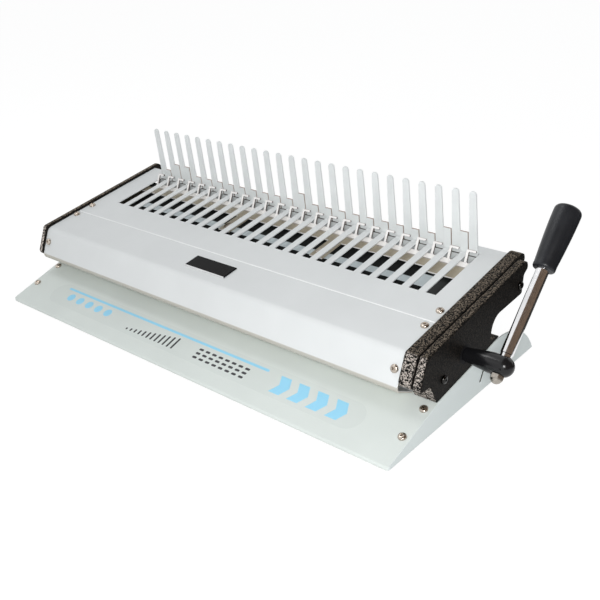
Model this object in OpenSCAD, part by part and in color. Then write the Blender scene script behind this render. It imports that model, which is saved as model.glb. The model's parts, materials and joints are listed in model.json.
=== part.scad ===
// Manual comb binding machine: paper punch below, comb opener on top, one lever at the right.
// The finished machine stands with the origin on the table, under the middle of its outline. Its pieces are
// drawn from the base's front edge and the middle of the comb row, and moved there together at the end.
// The body leans back on its base: its parts are drawn in a tilted frame whose first axis runs across,
// whose second runs back along the top cover from the finger row, and whose third is square to the cover.

/* [Comb row] */
// Spacing of the fingers, hooks and punches
pitch = 14.2875; // [13.6:0.0125:15.5]
// Number of fingers, hooks and punches
count = 25; // [9:2:25]
// Cover left over beyond the first finger
left_margin = 29.25; // [28:0.25:40]
// Cover left over beyond the last finger
right_margin = 22.75; // [22:0.25:40]

/* [Fingers] */
// Width of a finger at its root
finger_w = 7; // [5.5:0.1:7.6]
// Width of a finger just below its rounded tip
finger_tip_w = 5.4; // [4:0.1:6]
// Height of a finger above the top cover
finger_h = 49; // [35:0.5:65]
// Thickness of the fingers and of their strip
finger_t = 1.5; // [1:0.1:2]
// Backward tilt of the fingers from square to the cover
finger_tilt = 4.7; // [0:0.1:8]
// Height of the lands between the fingers
land_h = 8.8; // [5:0.1:12]
// Height of the taller tabs on some lands
tab_h = 16.3; // [13:0.1:25]
// Slit at the left of each finger
finger_slit = 0.8; // [0.5:0.1:1.2]

/* [Hooks] */
// Thickness of the hook plate
hook_t = 1.2; // [0.8:0.1:1.4]
// Width of one hook across its prong
hook_w = 7.9; // [6.5:0.1:8.2]
// Width of a hook's stem
hook_stem = 2.1; // [1.6:0.1:2.6]
// Depth of a hook's prong
hook_prong = 1.9; // [1.4:0.1:2.2]
// Lean of the hooks from square to the cover
hook_lean = 33; // [25:1:40]
// Height of the hook tops above the cover
hook_rise = 6.6; // [5:0.1:8]
// Gap between the cover's top and the hook plate
hook_drop = 4.6; // [4.4:0.1:5.2]

/* [Body] */
// Distance from the front edge back to the finger row
row_y = 165.4; // [160:0.2:175]
// Height of the cover at the finger row above the base's lower edge
row_height = 75.2; // [74:0.2:85]
// Slope of the top cover
body_tilt = 9; // [7:0.5:10]
// Depth from the cover's top to the shelf that the body stands on
shelf_drop = 37.3; // [37:0.1:39]
// Cover behind the finger row
cover_back = 11.7; // [8:0.1:16]
// Distance from the punches back to the seam between the covers
seam_behind = 11.6; // [10:0.2:13]
// Distance from the punches forward to the cover's front bend
nose_ahead = 24; // [22:0.2:27]
// Slant of the front face, forward going down
face_slant = 33.2; // [28:0.2:36]
// Thickness of the covers
sheet_t = 1.2; // [0.8:0.1:1.5]
// Length of a slot in front of the finger row
slot_len = 57.4; // [52:0.2:64]
// Width of a slot
slot_w = 8.4; // [8:0.1:9]
// Height of the paper throat
throat = 2.5; // [2:0.1:2.8]

/* [Frame plates] */
// Thickness of the right frame plate
plate_t = 6.4; // [5:0.1:8]
// Thickness of the left frame plate
left_plate_t = 4.2; // [3.4:0.1:7]
// Thickness of the right inner cheek
cheek_t = 10.4; // [8:0.1:14]
// Gap between the right inner cheek and the right frame plate
groove = 0.6; // [0.3:0.1:0.9]
// Height of the plates above the cover
rim = 2.4; // [1.5:0.1:3]

/* [Base] */
// Depth of the base
base_depth = 187.5; // [184:0.5:200]
// Thickness of the base's sheet
base_t = 1.2; // [0.8:0.1:1.5]
// Height of the front lip
lip = 2.5; // [2:0.1:4]
// Distance from the punches forward to the bend between the paper table and the shelf
shelf_ahead = 19.3; // [18:0.1:21]
// Radius of the walls' rear end
wall_round = 58; // [50:1:64]
// Width of the base's edge outside the right frame plate
base_edge = 0.7; // [0.5:0.1:3]
// Height of the rubber feet below the base's lower edge
foot_gap = 2; // [1:0.5:6]

/* [Lever and drive] */
// Distance from the punches back to the shaft
shaft_behind = 16.9; // [16.4:0.1:17.6]
// Depth of the shaft below the cover's top
shaft_drop = 22.7; // [22.4:0.1:23]
// Diameter of the shaft
shaft_d = 9; // [8:0.1:9.2]
// Diameter of the hub's round end
hub_d = 14.4; // [13:0.2:18]
// Distance from the right frame plate out to the lever
lever_out = 26.4; // [22:0.2:40]
// Lean of the lever at rest, back from upright
lever_lean = 46; // [30:1:50]
// Length of the lever from the shaft to the grip's end
lever_len = 118; // [100:1:150]
// Diameter of the lever's rod
rod_d = 8; // [7:0.1:10]
// Length of the grip
grip_len = 48; // [40:1:60]
// Greatest diameter of the grip
grip_d = 18.8; // [18:0.2:26]
// Turn of the lever
lever_turn = 90; // [80:1:90]
// Radius of the crank pins that drive the hooks
hook_crank = 10.5; // [10:0.1:11]
// Radius of the crank pins that drive the punch
punch_crank = 6.4; // [6.2:0.1:6.6]
// Diameter of the crank pins
crank_pin_d = 4; // [3.6:0.1:4.2]

/* [Punch] */
// Width of one punched hole along the row
punch_w = 8; // [6:0.1:8.5]
// Depth of one punched hole
punch_deep = 3; // [2.5:0.1:3.5]
// Distance from the finger row forward to the punches
punch_u = 97; // [92:0.5:102]
// Distance from the punches back to the paper stop
paper_margin = 4.3; // [4:0.1:4.8]
// Thickness of the die plate
die_t = 5; // [4:0.1:6]
// Thickness of the punch guide
guide_t = 4; // [3:0.1:4.4]

/* [Chip tray] */
// Height of the chip tray
tray_h = 8.5; // [6:0.5:12]
// Thickness of the chip tray
tray_t = 1; // [0.8:0.1:1.5]

/* [Fasteners] */
// Head diameter of the cover, base and plate screws
screw_head_d = 6; // [5:0.1:6.4]
// Height of those screw heads
screw_head_h = 2; // [1.5:0.1:2.5]
// Diameter of the screws' shanks
screw_d = 3; // [2.5:0.1:3.4]

/* [Hidden] */
$fn = 48;

// Clearances: faces that slide, a shaft in its bush, a fixed shaft in its hole, crank pins in their slots
slide_gap = 0.3;
shaft_gap = 0.05;
seat_gap = 0.02;
pin_gap = 0.45;
// A little more than any wall, for cuts that go right through
through = 1;

// Comb row
row = (count - 1) * pitch;
function row_x(i) = (i - (count - 1) / 2) * pitch;
every = [for (i = [0 : count - 1]) i];

// Heights and the tilted frame
base_z = foot_gap;
row_z = base_z + row_height;
across = [cos(body_tilt), sin(body_tilt)];
normal = [-sin(body_tilt), cos(body_tilt)];
function body_point(u, w) = [row_y, row_z] + u * across + w * normal;

// Ends of the covers and of the plates, from left to right
cover_left = -row / 2 - left_margin;
cover_right = row / 2 + right_margin;
plate_left = cover_left - left_plate_t;
cheek_right = cover_right + cheek_t;
plate_right = cheek_right + groove;
body_right = plate_right + plate_t;
base_left = plate_left;
base_right = body_right + base_edge;

// Places that follow the punches, each by its distance from them: covers, drive, and what holds the frame
rear_wall_behind = 48;
shelf_behind = 59;
tie_ahead = 10.5;
lug_len = 31;
top_screw_behind = 24.4;
front_screw_behind = 5.8;
frame_foot_behind = 16;
frame_feet_apart = 24;
badge_ahead = 5.3;
seam = punch_u - seam_behind;
nose = punch_u + nose_ahead;
shaft_u = punch_u - shaft_behind;
rear_wall_u = punch_u - rear_wall_behind;
shelf_back = punch_u - shelf_behind;
tie_u = punch_u + tie_ahead;
lug_front = punch_u;
lug_back = punch_u - lug_len;
top_screw_u = punch_u - top_screw_behind;
front_screw_u = punch_u - front_screw_behind;
frame_feet_u = [punch_u - frame_foot_behind, punch_u - frame_foot_behind - frame_feet_apart];
badge_u = punch_u + badge_ahead;

// Paper table and shelf of the base, as points of depth and height
table_start = [0, base_z + lip];
shelf_bend = body_point(-punch_u - shelf_ahead, -shelf_drop);
table_len = norm(shelf_bend - table_start);
table_way = (shelf_bend - table_start) / table_len;
table_slope = atan2(table_way.y, table_way.x);
shelf_point = body_point(0, -shelf_drop);
shelf_end = body_point(-shelf_back, -shelf_drop);

// Rear end of the walls: an arc from the shelf line down to the table
rear_foot = [base_depth, base_z] - shelf_point;
rear_along = rear_foot * across;
rear_down = rear_foot * normal;
rear_reach = sqrt(wall_round ^ 2 - (rear_down + wall_round) ^ 2);
rear_start = rear_along - rear_reach;
rear_stop_angle = atan2(rear_down + wall_round, rear_reach);

// Paper path, counted down from the cover's top
guide_low = shelf_drop - throat;
guide_top = guide_low - guide_t;
die_low = shelf_drop + die_t;
die_ledge = shelf_drop + base_t;
paper_stop = punch_u - paper_margin;
guide_front = punch_u + 13;
die_front = punch_u + 6;
die_back = paper_stop - 1.5;
die_rim = 4;
punch_gap = 0.15;
spacer_width = 12;

// Drive: both crank pins swing evenly about the middle of the lever's turn
half_turn = lever_turn / 2;
hook_travel = 2 * hook_crank * sin(half_turn);
punch_travel = 2 * punch_crank * sin(half_turn);
hook_pin_rest = [-shaft_u, -shaft_drop] + hook_crank * [cos(90 - half_turn), sin(90 - half_turn)];
punch_pin_rest = [-shaft_u, -shaft_drop] + punch_crank * [cos(180 - half_turn), sin(180 - half_turn)];
crank_pin_r = crank_pin_d / 2;
slot_r = crank_pin_r + pin_gap;

// Places across the row of the pieces at each end, counted from the last finger
fork_in = punch_w / 2 + 0.2;
fork_t = 4;
crank_in = fork_in + fork_t + 1;
crank_t = 5;
arm_in = crank_in + crank_t + 1.5;
arm_t = 3;
arm_h = 6;
crank_r = shaft_d / 2 + 4.6;
crank_boss_r = crank_pin_r + 2.4;

// Punch bar: its pins stay inside the guide at rest, and it stays off the guide at the end of the stroke
punch_tip = guide_low - 0.3;
bar_low = guide_top - punch_travel - 0.6;
bar_h = 12;
bar_deep = 10;
fork_wall = 3;
fork_tip = shaft_u + shaft_d / 2 + slide_gap;
fork_mouth = shaft_u + punch_crank + slot_r;
fork_root = die_back - 0.5;

// Hook plate: flat strip, longer over its last stretch at the right, then a bend up to the hooks
flat_back = 12;
flat_front = 22.7;
flat_front_right = 28;
flat_step = 25;
hook_bend = 2.5;
strip_top = hook_drop;
strip_low = hook_drop + hook_t;
lean_way = [sin(hook_lean), cos(hook_lean)];
lean_len = (hook_drop + hook_rise) / cos(hook_lean);
hook_left = -1.9;
hook_root_r = 1.2;
flange_len = (strip_top - sheet_t - 0.6) / cos(hook_lean);
hook_reach = arm_in + arm_t;

// Guide bar with its brackets, and the tongues of the hook plate that slide on its screws
bar_left = -row / 2 + 14;
bar_right = row / 2 - 13.4;
bar_u = 41.5;
bar_w = 8;
ear_w = 10;
ear_back = 30.2;
bar_top = strip_low + 0.2;
bar_bottom = 14.8;
bracket_t = 1.5;
bracket_top = 8;
bracket_low = strip_low + arm_h + 0.6;
bracket_back = 30;
bracket_front = 56;
tongue_w = 13;
tongue_tip = 6;
tongue_x = [-0.129, 0.171] * row;
guide_head_h = 1.4;
guide_head_r = 3.4;
guide_shank_r = 1.9;
guide_slot_r = guide_shank_r + slide_gap;
guide_sink = 6;

// Hook arms
arm_block = 10;
arm_block_low = shaft_drop - shaft_d / 2 - 0.6;
rivet_sink = 3;

// Rear beam behind the hooks, drawn in the fingers' tilted plane
beam_top = 8.8;
beam_low = 16.2;
beam_deep = 8.5;
strip_foot = 15.2;
finger_screw_sink = 6;
finger_seat = 2.4;
tall_lands = [1, 2, floor(count / 2), count - 3, count - 2];
slit_front = 0.7;
slit_back = finger_t + 1.2;

// Lugs on the plates that carry the cover screws
end_gap = 0.2;
lug_t = 3;
lug_reach = 9.2;
cover_screw_in = 5.2;
face_screw_w = 10;
face_lug_h = 9;

// Feet of the frame, screwed down to the shelf from below
frame_foot_reach = 9;
frame_foot_l = 10;
frame_foot_h = 4;

// Front cover's outline: top, front bend, slanting face, chin, and lip at the throat
nose_round = 7;
chin_drop = 18.2;
chin_round = 4.5;
lip_ahead = 9.2;
face_way = [-sin(face_slant), -cos(face_slant)];
face_normal = [face_way.y, -face_way.x];
function face_point(w) = [-nose, 0] + face_way * w / -face_way.y;
chin = face_point(chin_drop);
front_path = [[-seam, 0, 0], [-nose, 0, nose_round], [chin.x, chin.y, chin_round],
    [-guide_front - lip_ahead, -guide_low, 1.5], [-guide_front - slide_gap, -guide_low, 0]];

// Rear cover: a bent sheet that closes the body behind the drive and under the hooks
rear_floor = 16.4;
rear_path = [[-rear_wall_u, -shelf_drop, 0], [-rear_wall_u, -rear_floor, 8], [-beam_deep, -rear_floor, 0]];

// Frame plates: they stand proud of the covers by the rim, are cut back above the throat, and run into a toe
// at the shelf's rear. A cut is counted forward from the guide and down from the cover.
plate_nose_round = 3;
plate_chin_round = 4;
throat_cut = [12.5, 21];
left_throat_cut = [16, 28];
foot_ahead = 7.2;
toe_reach = 3.5;
toe_h = 2.1;
heel_h = 4;
waist_in = 6;
waist_drop = 17.3;
belly_drop = 21;
left_tail = cover_back + 8.5;
cheek_tail = cover_back + 4;
right_tail = cover_back - 4.7;

// Front tie rod and plate screws
tie_w = 24.6;
tie_r = 3.5;
plate_screw_in = 8;
plate_screws_at = [[-tie_u, -tie_w], [-5.2, -12.8]];

// Bushes
bush_r = 7;
bush_flange_r = 9;
bush_flange_t = 1.2;

// Lever
lever_x = body_right + lever_out;
shaft_at = body_point(-shaft_u, -shaft_drop);
hub_r = hub_d / 2;
hub_cone = lever_out - hub_r;
grip_start = lever_len - grip_len;
grip_mouth_r = 0.82 * grip_d / 2;
grip_waist = 4;
rod_end_r = 3;
rod_over = 1.5;
nut_r = 4.8;
nut_h = 3.2;
nut_dome_r = 4.1;
nut_dome_up = 1;
nut_seat = hub_r - 0.8;
rod_sink = 20;

// Chip tray and pan
pan_gap = 0.4;
pan_t = 1.2;
pan_short = 8;
pan_top = base_z + pan_gap + pan_t;
tray_side = 6;
tray_lift = 0.2;
tray_short = 20;
tray_back = base_depth - tray_short;
tray_front = shelf_bend.x + 9;
tray_left = base_left + base_t + tray_side;
tray_right = base_right - base_t - tray_side;
lip_out = 5;
runner_h = 4;
foot_r = 9;
foot_inset = 16;

// Slot in the right wall
wall_slot_at = [111.7, base_z + 12.3];
wall_slot_w = 2.2;
wall_slot_l = 9.4;
wall_slot_lean = 30;

// Base screws and their posts
post_r = 3.4;
base_screw_in = 5.6;
base_screw_len = 5;
base_screw_along = [0.416, 0.846] * table_len;
base_corner = 2.4;

// Badge plate
badge_w = 44;
badge_l = 15.4;
badge_t = 1.2;
badge_x = -3.4;

// Middle of the machine's outline, from the left plate screws' heads to the lever's grip
middle = [(plate_left - screw_head_h + lever_x + grip_d / 2) / 2, base_depth / 2, 0];

base_colour = "#d3dad6";
cover_colour = "#c9cdce";
speckle_colour = "#3a3733";
steel_colour = "#b9b4a6";
finger_colour = "#dfe4e2";
dark_colour = "#2a2b2d";

// Outline helpers: corners with a radius become arcs
function xy(p) = [p[0], p[1]];
function unit(v) = v / norm(v);
function wrap(a) = a > 180 ? a - 360 : a < -180 ? a + 360 : a;
function corner_arc(a, b, c, r) =
    let (
        n = r < 1 ? 3 : 8,
        to_a = unit(a - b),
        to_c = unit(c - b),
        half = acos(max(-1, min(1, to_a * to_c))) / 2,
        centre = b + unit(to_a + to_c) * r / sin(half),
        first = b + to_a * r / tan(half) - centre,
        last = b + to_c * r / tan(half) - centre,
        start = atan2(first.y, first.x),
        sweep = wrap(atan2(last.y, last.x) - start)
    )
    [for (k = [0 : n]) centre + r * [cos(start + sweep * k / n), sin(start + sweep * k / n)]];
function corner(a, b, c) = b[2] > 0 ? corner_arc(xy(a), xy(b), xy(c), b[2]) : [xy(b)];
function rounded_loop(p) =
    let (n = len(p))
    [for (i = [0 : n - 1]) each corner(p[(i + n - 1) % n], p[i], p[(i + 1) % n])];
function rounded_path(p) =
    let (n = len(p))
    [xy(p[0]), for (i = [1 : n - 2]) each corner(p[i - 1], p[i], p[i + 1]), xy(p[n - 1])];
function reversed(p) = [for (i = [len(p) - 1 : -1 : 0]) p[i]];

// The same path, moved to its left by a thickness, with the bends' radii to match
function left_normal(a, b) = let (d = unit(xy(b) - xy(a))) [-d.y, d.x];
function mitre(a, b, c, t) =
    let (
        n1 = left_normal(a, b),
        n2 = left_normal(b, c),
        spot = xy(b) + t * (n1 + n2) / (1 + n1 * n2)
    )
    [spot.x, spot.y, b[2] > 0 ? max(0.05, b[2] - t * sign(cross(n1, n2))) : 0];
function moved_end(p, n, t) = [p[0] + t * n.x, p[1] + t * n.y, 0];
function moved_path(p, t) =
    let (n = len(p))
    [
        moved_end(p[0], left_normal(p[0], p[1]), t),
        for (i = [1 : n - 2]) mitre(p[i - 1], p[i], p[i + 1], t),
        moved_end(p[n - 1], left_normal(p[n - 2], p[n - 1]), t)
    ];

// A bent sheet's section: the path on one face, and the same path moved by the thickness on the other
module sheet_section(path, t) {
    polygon(concat(rounded_path(path), reversed(rounded_path(moved_path(path, t)))));
}

// A section of depth and height, drawn out across the machine from x0 to x1
module across_x(x0, x1) {
    translate([x0, 0, 0]) rotate([90, 0, 90]) linear_extrude(x1 - x0) children();
}

module rod_x(r, x0, x1) {
    translate([x0, 0, 0]) rotate([0, 90, 0]) cylinder(r = r, h = x1 - x0);
}

module box(low, high) {
    translate(low) cube(high - low);
}

// Places: the tilted body, the fingers' plane, a spot in the body, both ends of the row, the lever
module in_body() {
    translate([0, row_y, row_z]) rotate([body_tilt, 0, 0]) children();
}

module in_fingers() {
    in_body() rotate([-finger_tilt, 0, 0]) children();
}

module at_body(x, u, w) {
    in_body() translate([x, u, w]) children();
}

module both_ends() {
    translate([row / 2, 0, 0]) children();
    translate([-row / 2, 0, 0]) mirror([1, 0, 0]) children();
}

module along_lever() {
    translate([lever_x, shaft_at.x, shaft_at.y]) rotate([-lever_lean, 0, 0]) children();
}

module on_table(x, along) {
    spot = table_start + along * table_way;
    translate([x, spot.x, spot.y]) rotate([table_slope, 0, 0]) children();
}

// Pan-head screw standing on the face z = 0, with its shank below
module screw(shank) {
    rotate_extrude() {
        polygon([[0, -shank], [screw_d / 2, -shank], [screw_d / 2, 0], [screw_head_d / 2, 0],
            [screw_head_d / 2, 0.4 * screw_head_h], [0.72 * screw_head_d / 2, 0.85 * screw_head_h],
            [0.3 * screw_head_d / 2, screw_head_h], [0, screw_head_h]]);
    }
}

module screw_hole(deep) {
    translate([0, 0, -deep]) cylinder(r = screw_d / 2 + seat_gap, h = deep + through);
}

// Base

wall_arc = [for (k = [0 : 16])
    let (a = 90 + (rear_stop_angle - 90) * k / 16)
    body_point(rear_start + wall_round * cos(a), -shelf_drop - wall_round + wall_round * sin(a))];

lip_round = 1.8;
bend_round = 30;
table_path = [[0, base_z, 0], [table_start.x, table_start.y, lip_round],
    [shelf_bend.x, shelf_bend.y, bend_round], [shelf_end.x, shelf_end.y, 0]];

module wall_section() {
    polygon(concat(rounded_path(table_path), wall_arc));
}

module base_screw_spots() {
    for (along = base_screw_along) {
        on_table(base_left + base_screw_in, along) children();
        on_table(base_right - base_screw_in, along) children();
    }
}

module die_window(grow) {
    box([-row / 2 - fork_in - grow, -die_front - grow, -shelf_drop - 2 * base_t],
        [row / 2 + fork_in + grow, -die_back + grow, -shelf_drop + through]);
}

// Narrow leaning slot in the right wall, under the shaft
module wall_slot() {
    half = [wall_slot_w, wall_slot_l] / 2;
    translate([base_right - 2 * base_t, wall_slot_at.x, wall_slot_at.y]) rotate([-wall_slot_lean, 0, 0])
        box([0, -half.x, -half.y], [3 * base_t, half.x, half.y]);
}

// Outline from above, with rounded front corners
module base_plan() {
    polygon(rounded_loop([[base_left, 0, base_corner], [base_right, 0, base_corner],
        [base_right, base_depth, 0], [base_left, base_depth, 0]]));
}

module base_cover() {
    color(base_colour)
    difference() {
        intersection() {
            union() {
                across_x(base_left, base_right) sheet_section(table_path, -base_t);
                across_x(base_left, base_left + base_t) wall_section();
                across_x(base_right - base_t, base_right) wall_section();
            }
            linear_extrude(row_z) base_plan();
        }
        in_body() die_window(slide_gap);
        base_screw_spots() screw_hole(2 * base_t);
        frame_screw_spots() screw_hole(2 * base_t);
        die_screw_spots() screw_hole(die_low - guide_top + through);
        wall_slot();
    }
}

module base_pan() {
    inside_left = base_left + base_t + slide_gap;
    inside_right = base_right - base_t - slide_gap;
    color(steel_colour)
    difference() {
        union() {
            box([inside_left, base_t + slide_gap, base_z + pan_gap],
                [inside_right, base_depth - pan_short, pan_top]);
            box([tray_left - slide_gap - pan_t, tray_front, pan_top - 0.1],
                [tray_left - slide_gap, tray_back, pan_top + runner_h]);
            box([tray_right + slide_gap, tray_front, pan_top - 0.1],
                [tray_right + slide_gap + pan_t, tray_back, pan_top + runner_h]);
        }
        foot_spots() translate([0, 0, base_z])
            cylinder(r = screw_d / 2 + seat_gap, h = pan_gap + pan_t + through);
    }
}

// Posts under the screws of the paper table, cut off square to it
module base_posts() {
    color(steel_colour)
    for (along = base_screw_along, x = [base_left + base_screw_in, base_right - base_screw_in]) {
        spot = table_start + along * table_way;
        difference() {
            translate([x, spot.x, pan_top]) cylinder(r = post_r, h = spot.y - pan_top);
            on_table(x, along) box([-20, -20, -base_t], [20, 20, 20]);
            on_table(x, along) screw_hole(base_screw_len + through);
        }
    }
}

module base_screws() {
    color("silver") base_screw_spots() screw(base_screw_len);
}

module foot_spots() {
    rear = base_depth - 2 * foot_inset;
    for (x = [base_left + foot_inset, base_right - foot_inset], y = [foot_inset, rear]) {
        translate([x, y, 0]) children();
    }
}

module rubber_feet() {
    color(dark_colour) foot_spots() {
        cylinder(r1 = foot_r - 1, r2 = foot_r, h = base_z + pan_gap);
        cylinder(r = screw_d / 2, h = pan_top);
    }
}

// Open tray with a lip to pull it out at the rear
module chip_tray() {
    low = pan_top + tray_lift;
    high = low + tray_h;
    color(steel_colour) {
        difference() {
            box([tray_left, tray_front, low], [tray_right, tray_back, high]);
            box([tray_left + tray_t, tray_front + tray_t, low + tray_t],
                [tray_right - tray_t, tray_back - tray_t, high + through]);
        }
        box([tray_left, tray_back - tray_t, low], [tray_right, tray_back + lip_out, low + tray_t]);
    }
}

// Frame plates

// Nose, foot and toe are the same on all three plates; the tail and the cut above the throat differ
module plate_section(tail, cut) {
    proud = moved_path(front_path, -rim);
    polygon(rounded_loop([
        [tail, rim, 5], [proud[1].x, proud[1].y, plate_nose_round],
        [proud[2].x, proud[2].y, plate_chin_round], [-guide_front - cut.x, -cut.y, 2],
        [-guide_front - foot_ahead, -shelf_drop, 0.6],
        [-shelf_back + toe_reach, -shelf_drop, 0.6], [-shelf_back - 1.5, -shelf_drop + toe_h, 1.2],
        [-rear_wall_u + 0.5, -shelf_drop + heel_h, 2.5], [-rear_wall_u + waist_in, -waist_drop, 12],
        [-3, -belly_drop, 2], [tail - 6, -7.5, 3], [tail, -5, 2.5]
    ]));
}

module shaft_hole(r, x0, x1) {
    at_body(0, -shaft_u, -shaft_drop) rod_x(r, x0 - through, x1 + through);
}

module plate_screw_holes(x0, x1) {
    for (p = plate_screws_at) at_body(0, p.x, p.y) rod_x(screw_d / 2 + seat_gap, x0 - through, x1 + through);
}

module frame_feet(x0, x1) {
    for (u = frame_feet_u) {
        in_body() box([x0, -u - frame_foot_l / 2, -shelf_drop],
            [x1, -u + frame_foot_l / 2, -shelf_drop + frame_foot_h]);
    }
}

// Lugs that reach in from a plate, under the covers, for the cover screws; way is 1 rightward, -1 leftward
module cover_lugs(x, way) {
    x0 = min(x - way * through, x + way * lug_reach);
    x1 = max(x - way * through, x + way * lug_reach);
    in_body() {
        box([x0, -lug_front, -sheet_t - lug_t], [x1, -lug_back, -sheet_t]);
        across_x(x0, x1) polygon([for (p = [[sheet_t, -face_lug_h / 2], [sheet_t, face_lug_h / 2],
            [sheet_t + lug_t, face_lug_h / 2], [sheet_t + lug_t, -face_lug_h / 2]])
            face_point(face_screw_w) + p.x * -face_normal + p.y * face_way]);
    }
}

module cover_screw_spots() {
    for (x = [cover_left + cover_screw_in, cover_right - cover_screw_in]) {
        at_body(x, -top_screw_u, 0) children();
        at_body(x, -front_screw_u, 0) children();
        at_body(x, face_point(face_screw_w).x, face_point(face_screw_w).y)
            rotate([90 - atan2(-face_way.x, -face_way.y), 0, 0]) children();
    }
}

module frame_screw_spots() {
    for (x = [cover_left + frame_foot_reach / 2, cover_right - frame_foot_reach / 2], u = frame_feet_u) {
        at_body(x, -u, -shelf_drop - base_t) mirror([0, 0, 1]) children();
    }
}

module left_frame_plate() {
    color(speckle_colour)
    difference() {
        union() {
            in_body() across_x(plate_left, cover_left) plate_section(left_tail, left_throat_cut);
            cover_lugs(cover_left, 1);
            frame_feet(cover_left - through, cover_left + frame_foot_reach);
        }
        shaft_hole(bush_r + seat_gap, plate_left, cover_left);
        plate_screw_holes(plate_left, cover_left);
        cover_screw_spots() screw_hole(sheet_t + lug_t + through);
        frame_screw_spots() screw_hole(base_t + frame_foot_h + through);
    }
}

module right_inner_cheek() {
    color(speckle_colour)
    difference() {
        union() {
            in_body() across_x(cover_right, cheek_right) plate_section(cheek_tail, throat_cut);
            cover_lugs(cover_right, -1);
            frame_feet(cover_right - frame_foot_reach, cover_right + through);
        }
        shaft_hole(bush_r + seat_gap, cover_right, cheek_right);
        plate_screw_holes(cover_right, cheek_right);
        cover_screw_spots() screw_hole(sheet_t + lug_t + through);
        frame_screw_spots() screw_hole(base_t + frame_foot_h + through);
    }
}

module right_frame_plate() {
    color(speckle_colour)
    difference() {
        in_body() across_x(plate_right, body_right) plate_section(right_tail, throat_cut);
        shaft_hole(bush_r + seat_gap, plate_right, body_right);
        plate_screw_holes(plate_right, body_right);
    }
}

module plate_screws() {
    color("silver")
    for (p = plate_screws_at) {
        at_body(plate_left, p.x, p.y) rotate([0, -90, 0]) screw(left_plate_t + plate_screw_in);
        at_body(body_right, p.x, p.y) rotate([0, 90, 0]) screw(body_right - cover_right + plate_screw_in);
    }
}

module frame_screws() {
    color("silver") frame_screw_spots() screw(base_t + frame_foot_h - 0.2);
}

// Covers

module top_cover() {
    x0 = cover_left + end_gap;
    x1 = cover_right - end_gap;
    slot_x = 0.2;
    color(cover_colour)
    difference() {
        in_body() {
            box([x0, -seam + end_gap, -sheet_t], [x1, cover_back, 0]);
            box([x0, cover_back - sheet_t, -beam_top], [x1, cover_back, 0]);
        }
        in_body() {
            for (i = every) {
                box([row_x(i) + slot_x - slot_w / 2, -slot_len, -2 * sheet_t],
                    [row_x(i) + slot_x + slot_w / 2, 0, through]);
            }
            box([-row / 2 + slot_x - slot_w / 2, -slit_front, -2 * sheet_t],
                [row / 2 + slot_x + slot_w / 2, slit_back, through]);
        }
        cover_screw_spots() screw_hole(3 * sheet_t);
    }
}

module front_cover() {
    color(cover_colour)
    difference() {
        in_body() across_x(cover_left + end_gap, cover_right - end_gap) sheet_section(front_path, sheet_t);
        cover_screw_spots() screw_hole(3 * sheet_t);
    }
}

module cover_screws() {
    color("silver") cover_screw_spots() screw(sheet_t + lug_t - 0.2);
}

// Plain plate with chamfered edges
module badge_plate() {
    bevel = 0.5;
    color(dark_colour) in_body() {
        across_x(badge_x - badge_w / 2, badge_x + badge_w / 2) {
            polygon([[-badge_u - badge_l / 2, 0], [-badge_u + badge_l / 2, 0],
                [-badge_u + badge_l / 2, badge_t - bevel], [-badge_u + badge_l / 2 - bevel, badge_t],
                [-badge_u - badge_l / 2 + bevel, badge_t], [-badge_u - badge_l / 2, badge_t - bevel]]);
        }
    }
}

module rear_cover() {
    color(dark_colour)
    in_body() across_x(cover_left, cover_right) sheet_section(rear_path, -sheet_t);
}

// Fingers

// Section of width and height, made into a plate in the fingers' plane
module finger_sheet() {
    in_fingers() rotate([90, 0, 0]) translate([0, 0, -finger_t]) linear_extrude(finger_t) children();
}

module strip_cut(i) {
    translate([row_x(i) - finger_w / 2 - finger_slit, -finger_seat])
        square([finger_w + finger_slit, finger_seat + tab_h + through]);
}

module finger_strip() {
    left = -row / 2 - finger_w / 2 - finger_slit;
    right = row / 2 + finger_w / 2;
    color(finger_colour)
    difference() {
        finger_sheet() difference() {
            union() {
                translate([left, -strip_foot]) square([right - left, strip_foot + land_h]);
                for (i = tall_lands) translate([row_x(i), 0]) square([pitch, tab_h]);
            }
            for (i = every) strip_cut(i);
        }
        finger_screw_spots() screw_hole(2 * beam_deep);
    }
}

module comb_fingers() {
    root = finger_w / 2;
    tip = finger_tip_w / 2;
    outline = rounded_loop([[-root, -finger_seat, 0], [root, -finger_seat, 0], [root, land_h, 0],
        [tip, finger_h, 0.96 * tip], [-tip, finger_h, 0.96 * tip], [-root, land_h, 0]]);
    color(finger_colour)
    for (i = every) finger_sheet() translate([row_x(i), 0]) polygon(outline);
}

module finger_screw_spots() {
    for (i = [1 : 4 : count - 2]) {
        in_fingers() translate([row_x(i) + pitch / 2, finger_t, -(beam_top + beam_low) / 2])
            rotate([-90, 0, 0]) children();
    }
}

module finger_screws() {
    color("silver") finger_screw_spots() screw(finger_t + finger_screw_sink);
}

module rear_beam() {
    color(cover_colour)
    difference() {
        in_fingers() box([cover_left, -beam_deep, -beam_low], [cover_right, 0, -beam_top]);
        finger_screw_spots() screw_hole(finger_t + finger_screw_sink);
        plate_screw_holes(cover_left, cover_left + plate_screw_in);
        plate_screw_holes(cover_right - plate_screw_in, cover_right);
    }
}

module front_tie_rod() {
    color("silver")
    difference() {
        at_body(0, -tie_u, -tie_w) rod_x(tie_r, cover_left, cover_right);
        plate_screw_holes(cover_left, cover_left + plate_screw_in);
        plate_screw_holes(cover_right - plate_screw_in, cover_right);
    }
}

// Hook plate and its guide

module guide_screw_spots() {
    for (x = tongue_x) at_body(x, -bar_u, -bar_top) children();
}

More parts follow.
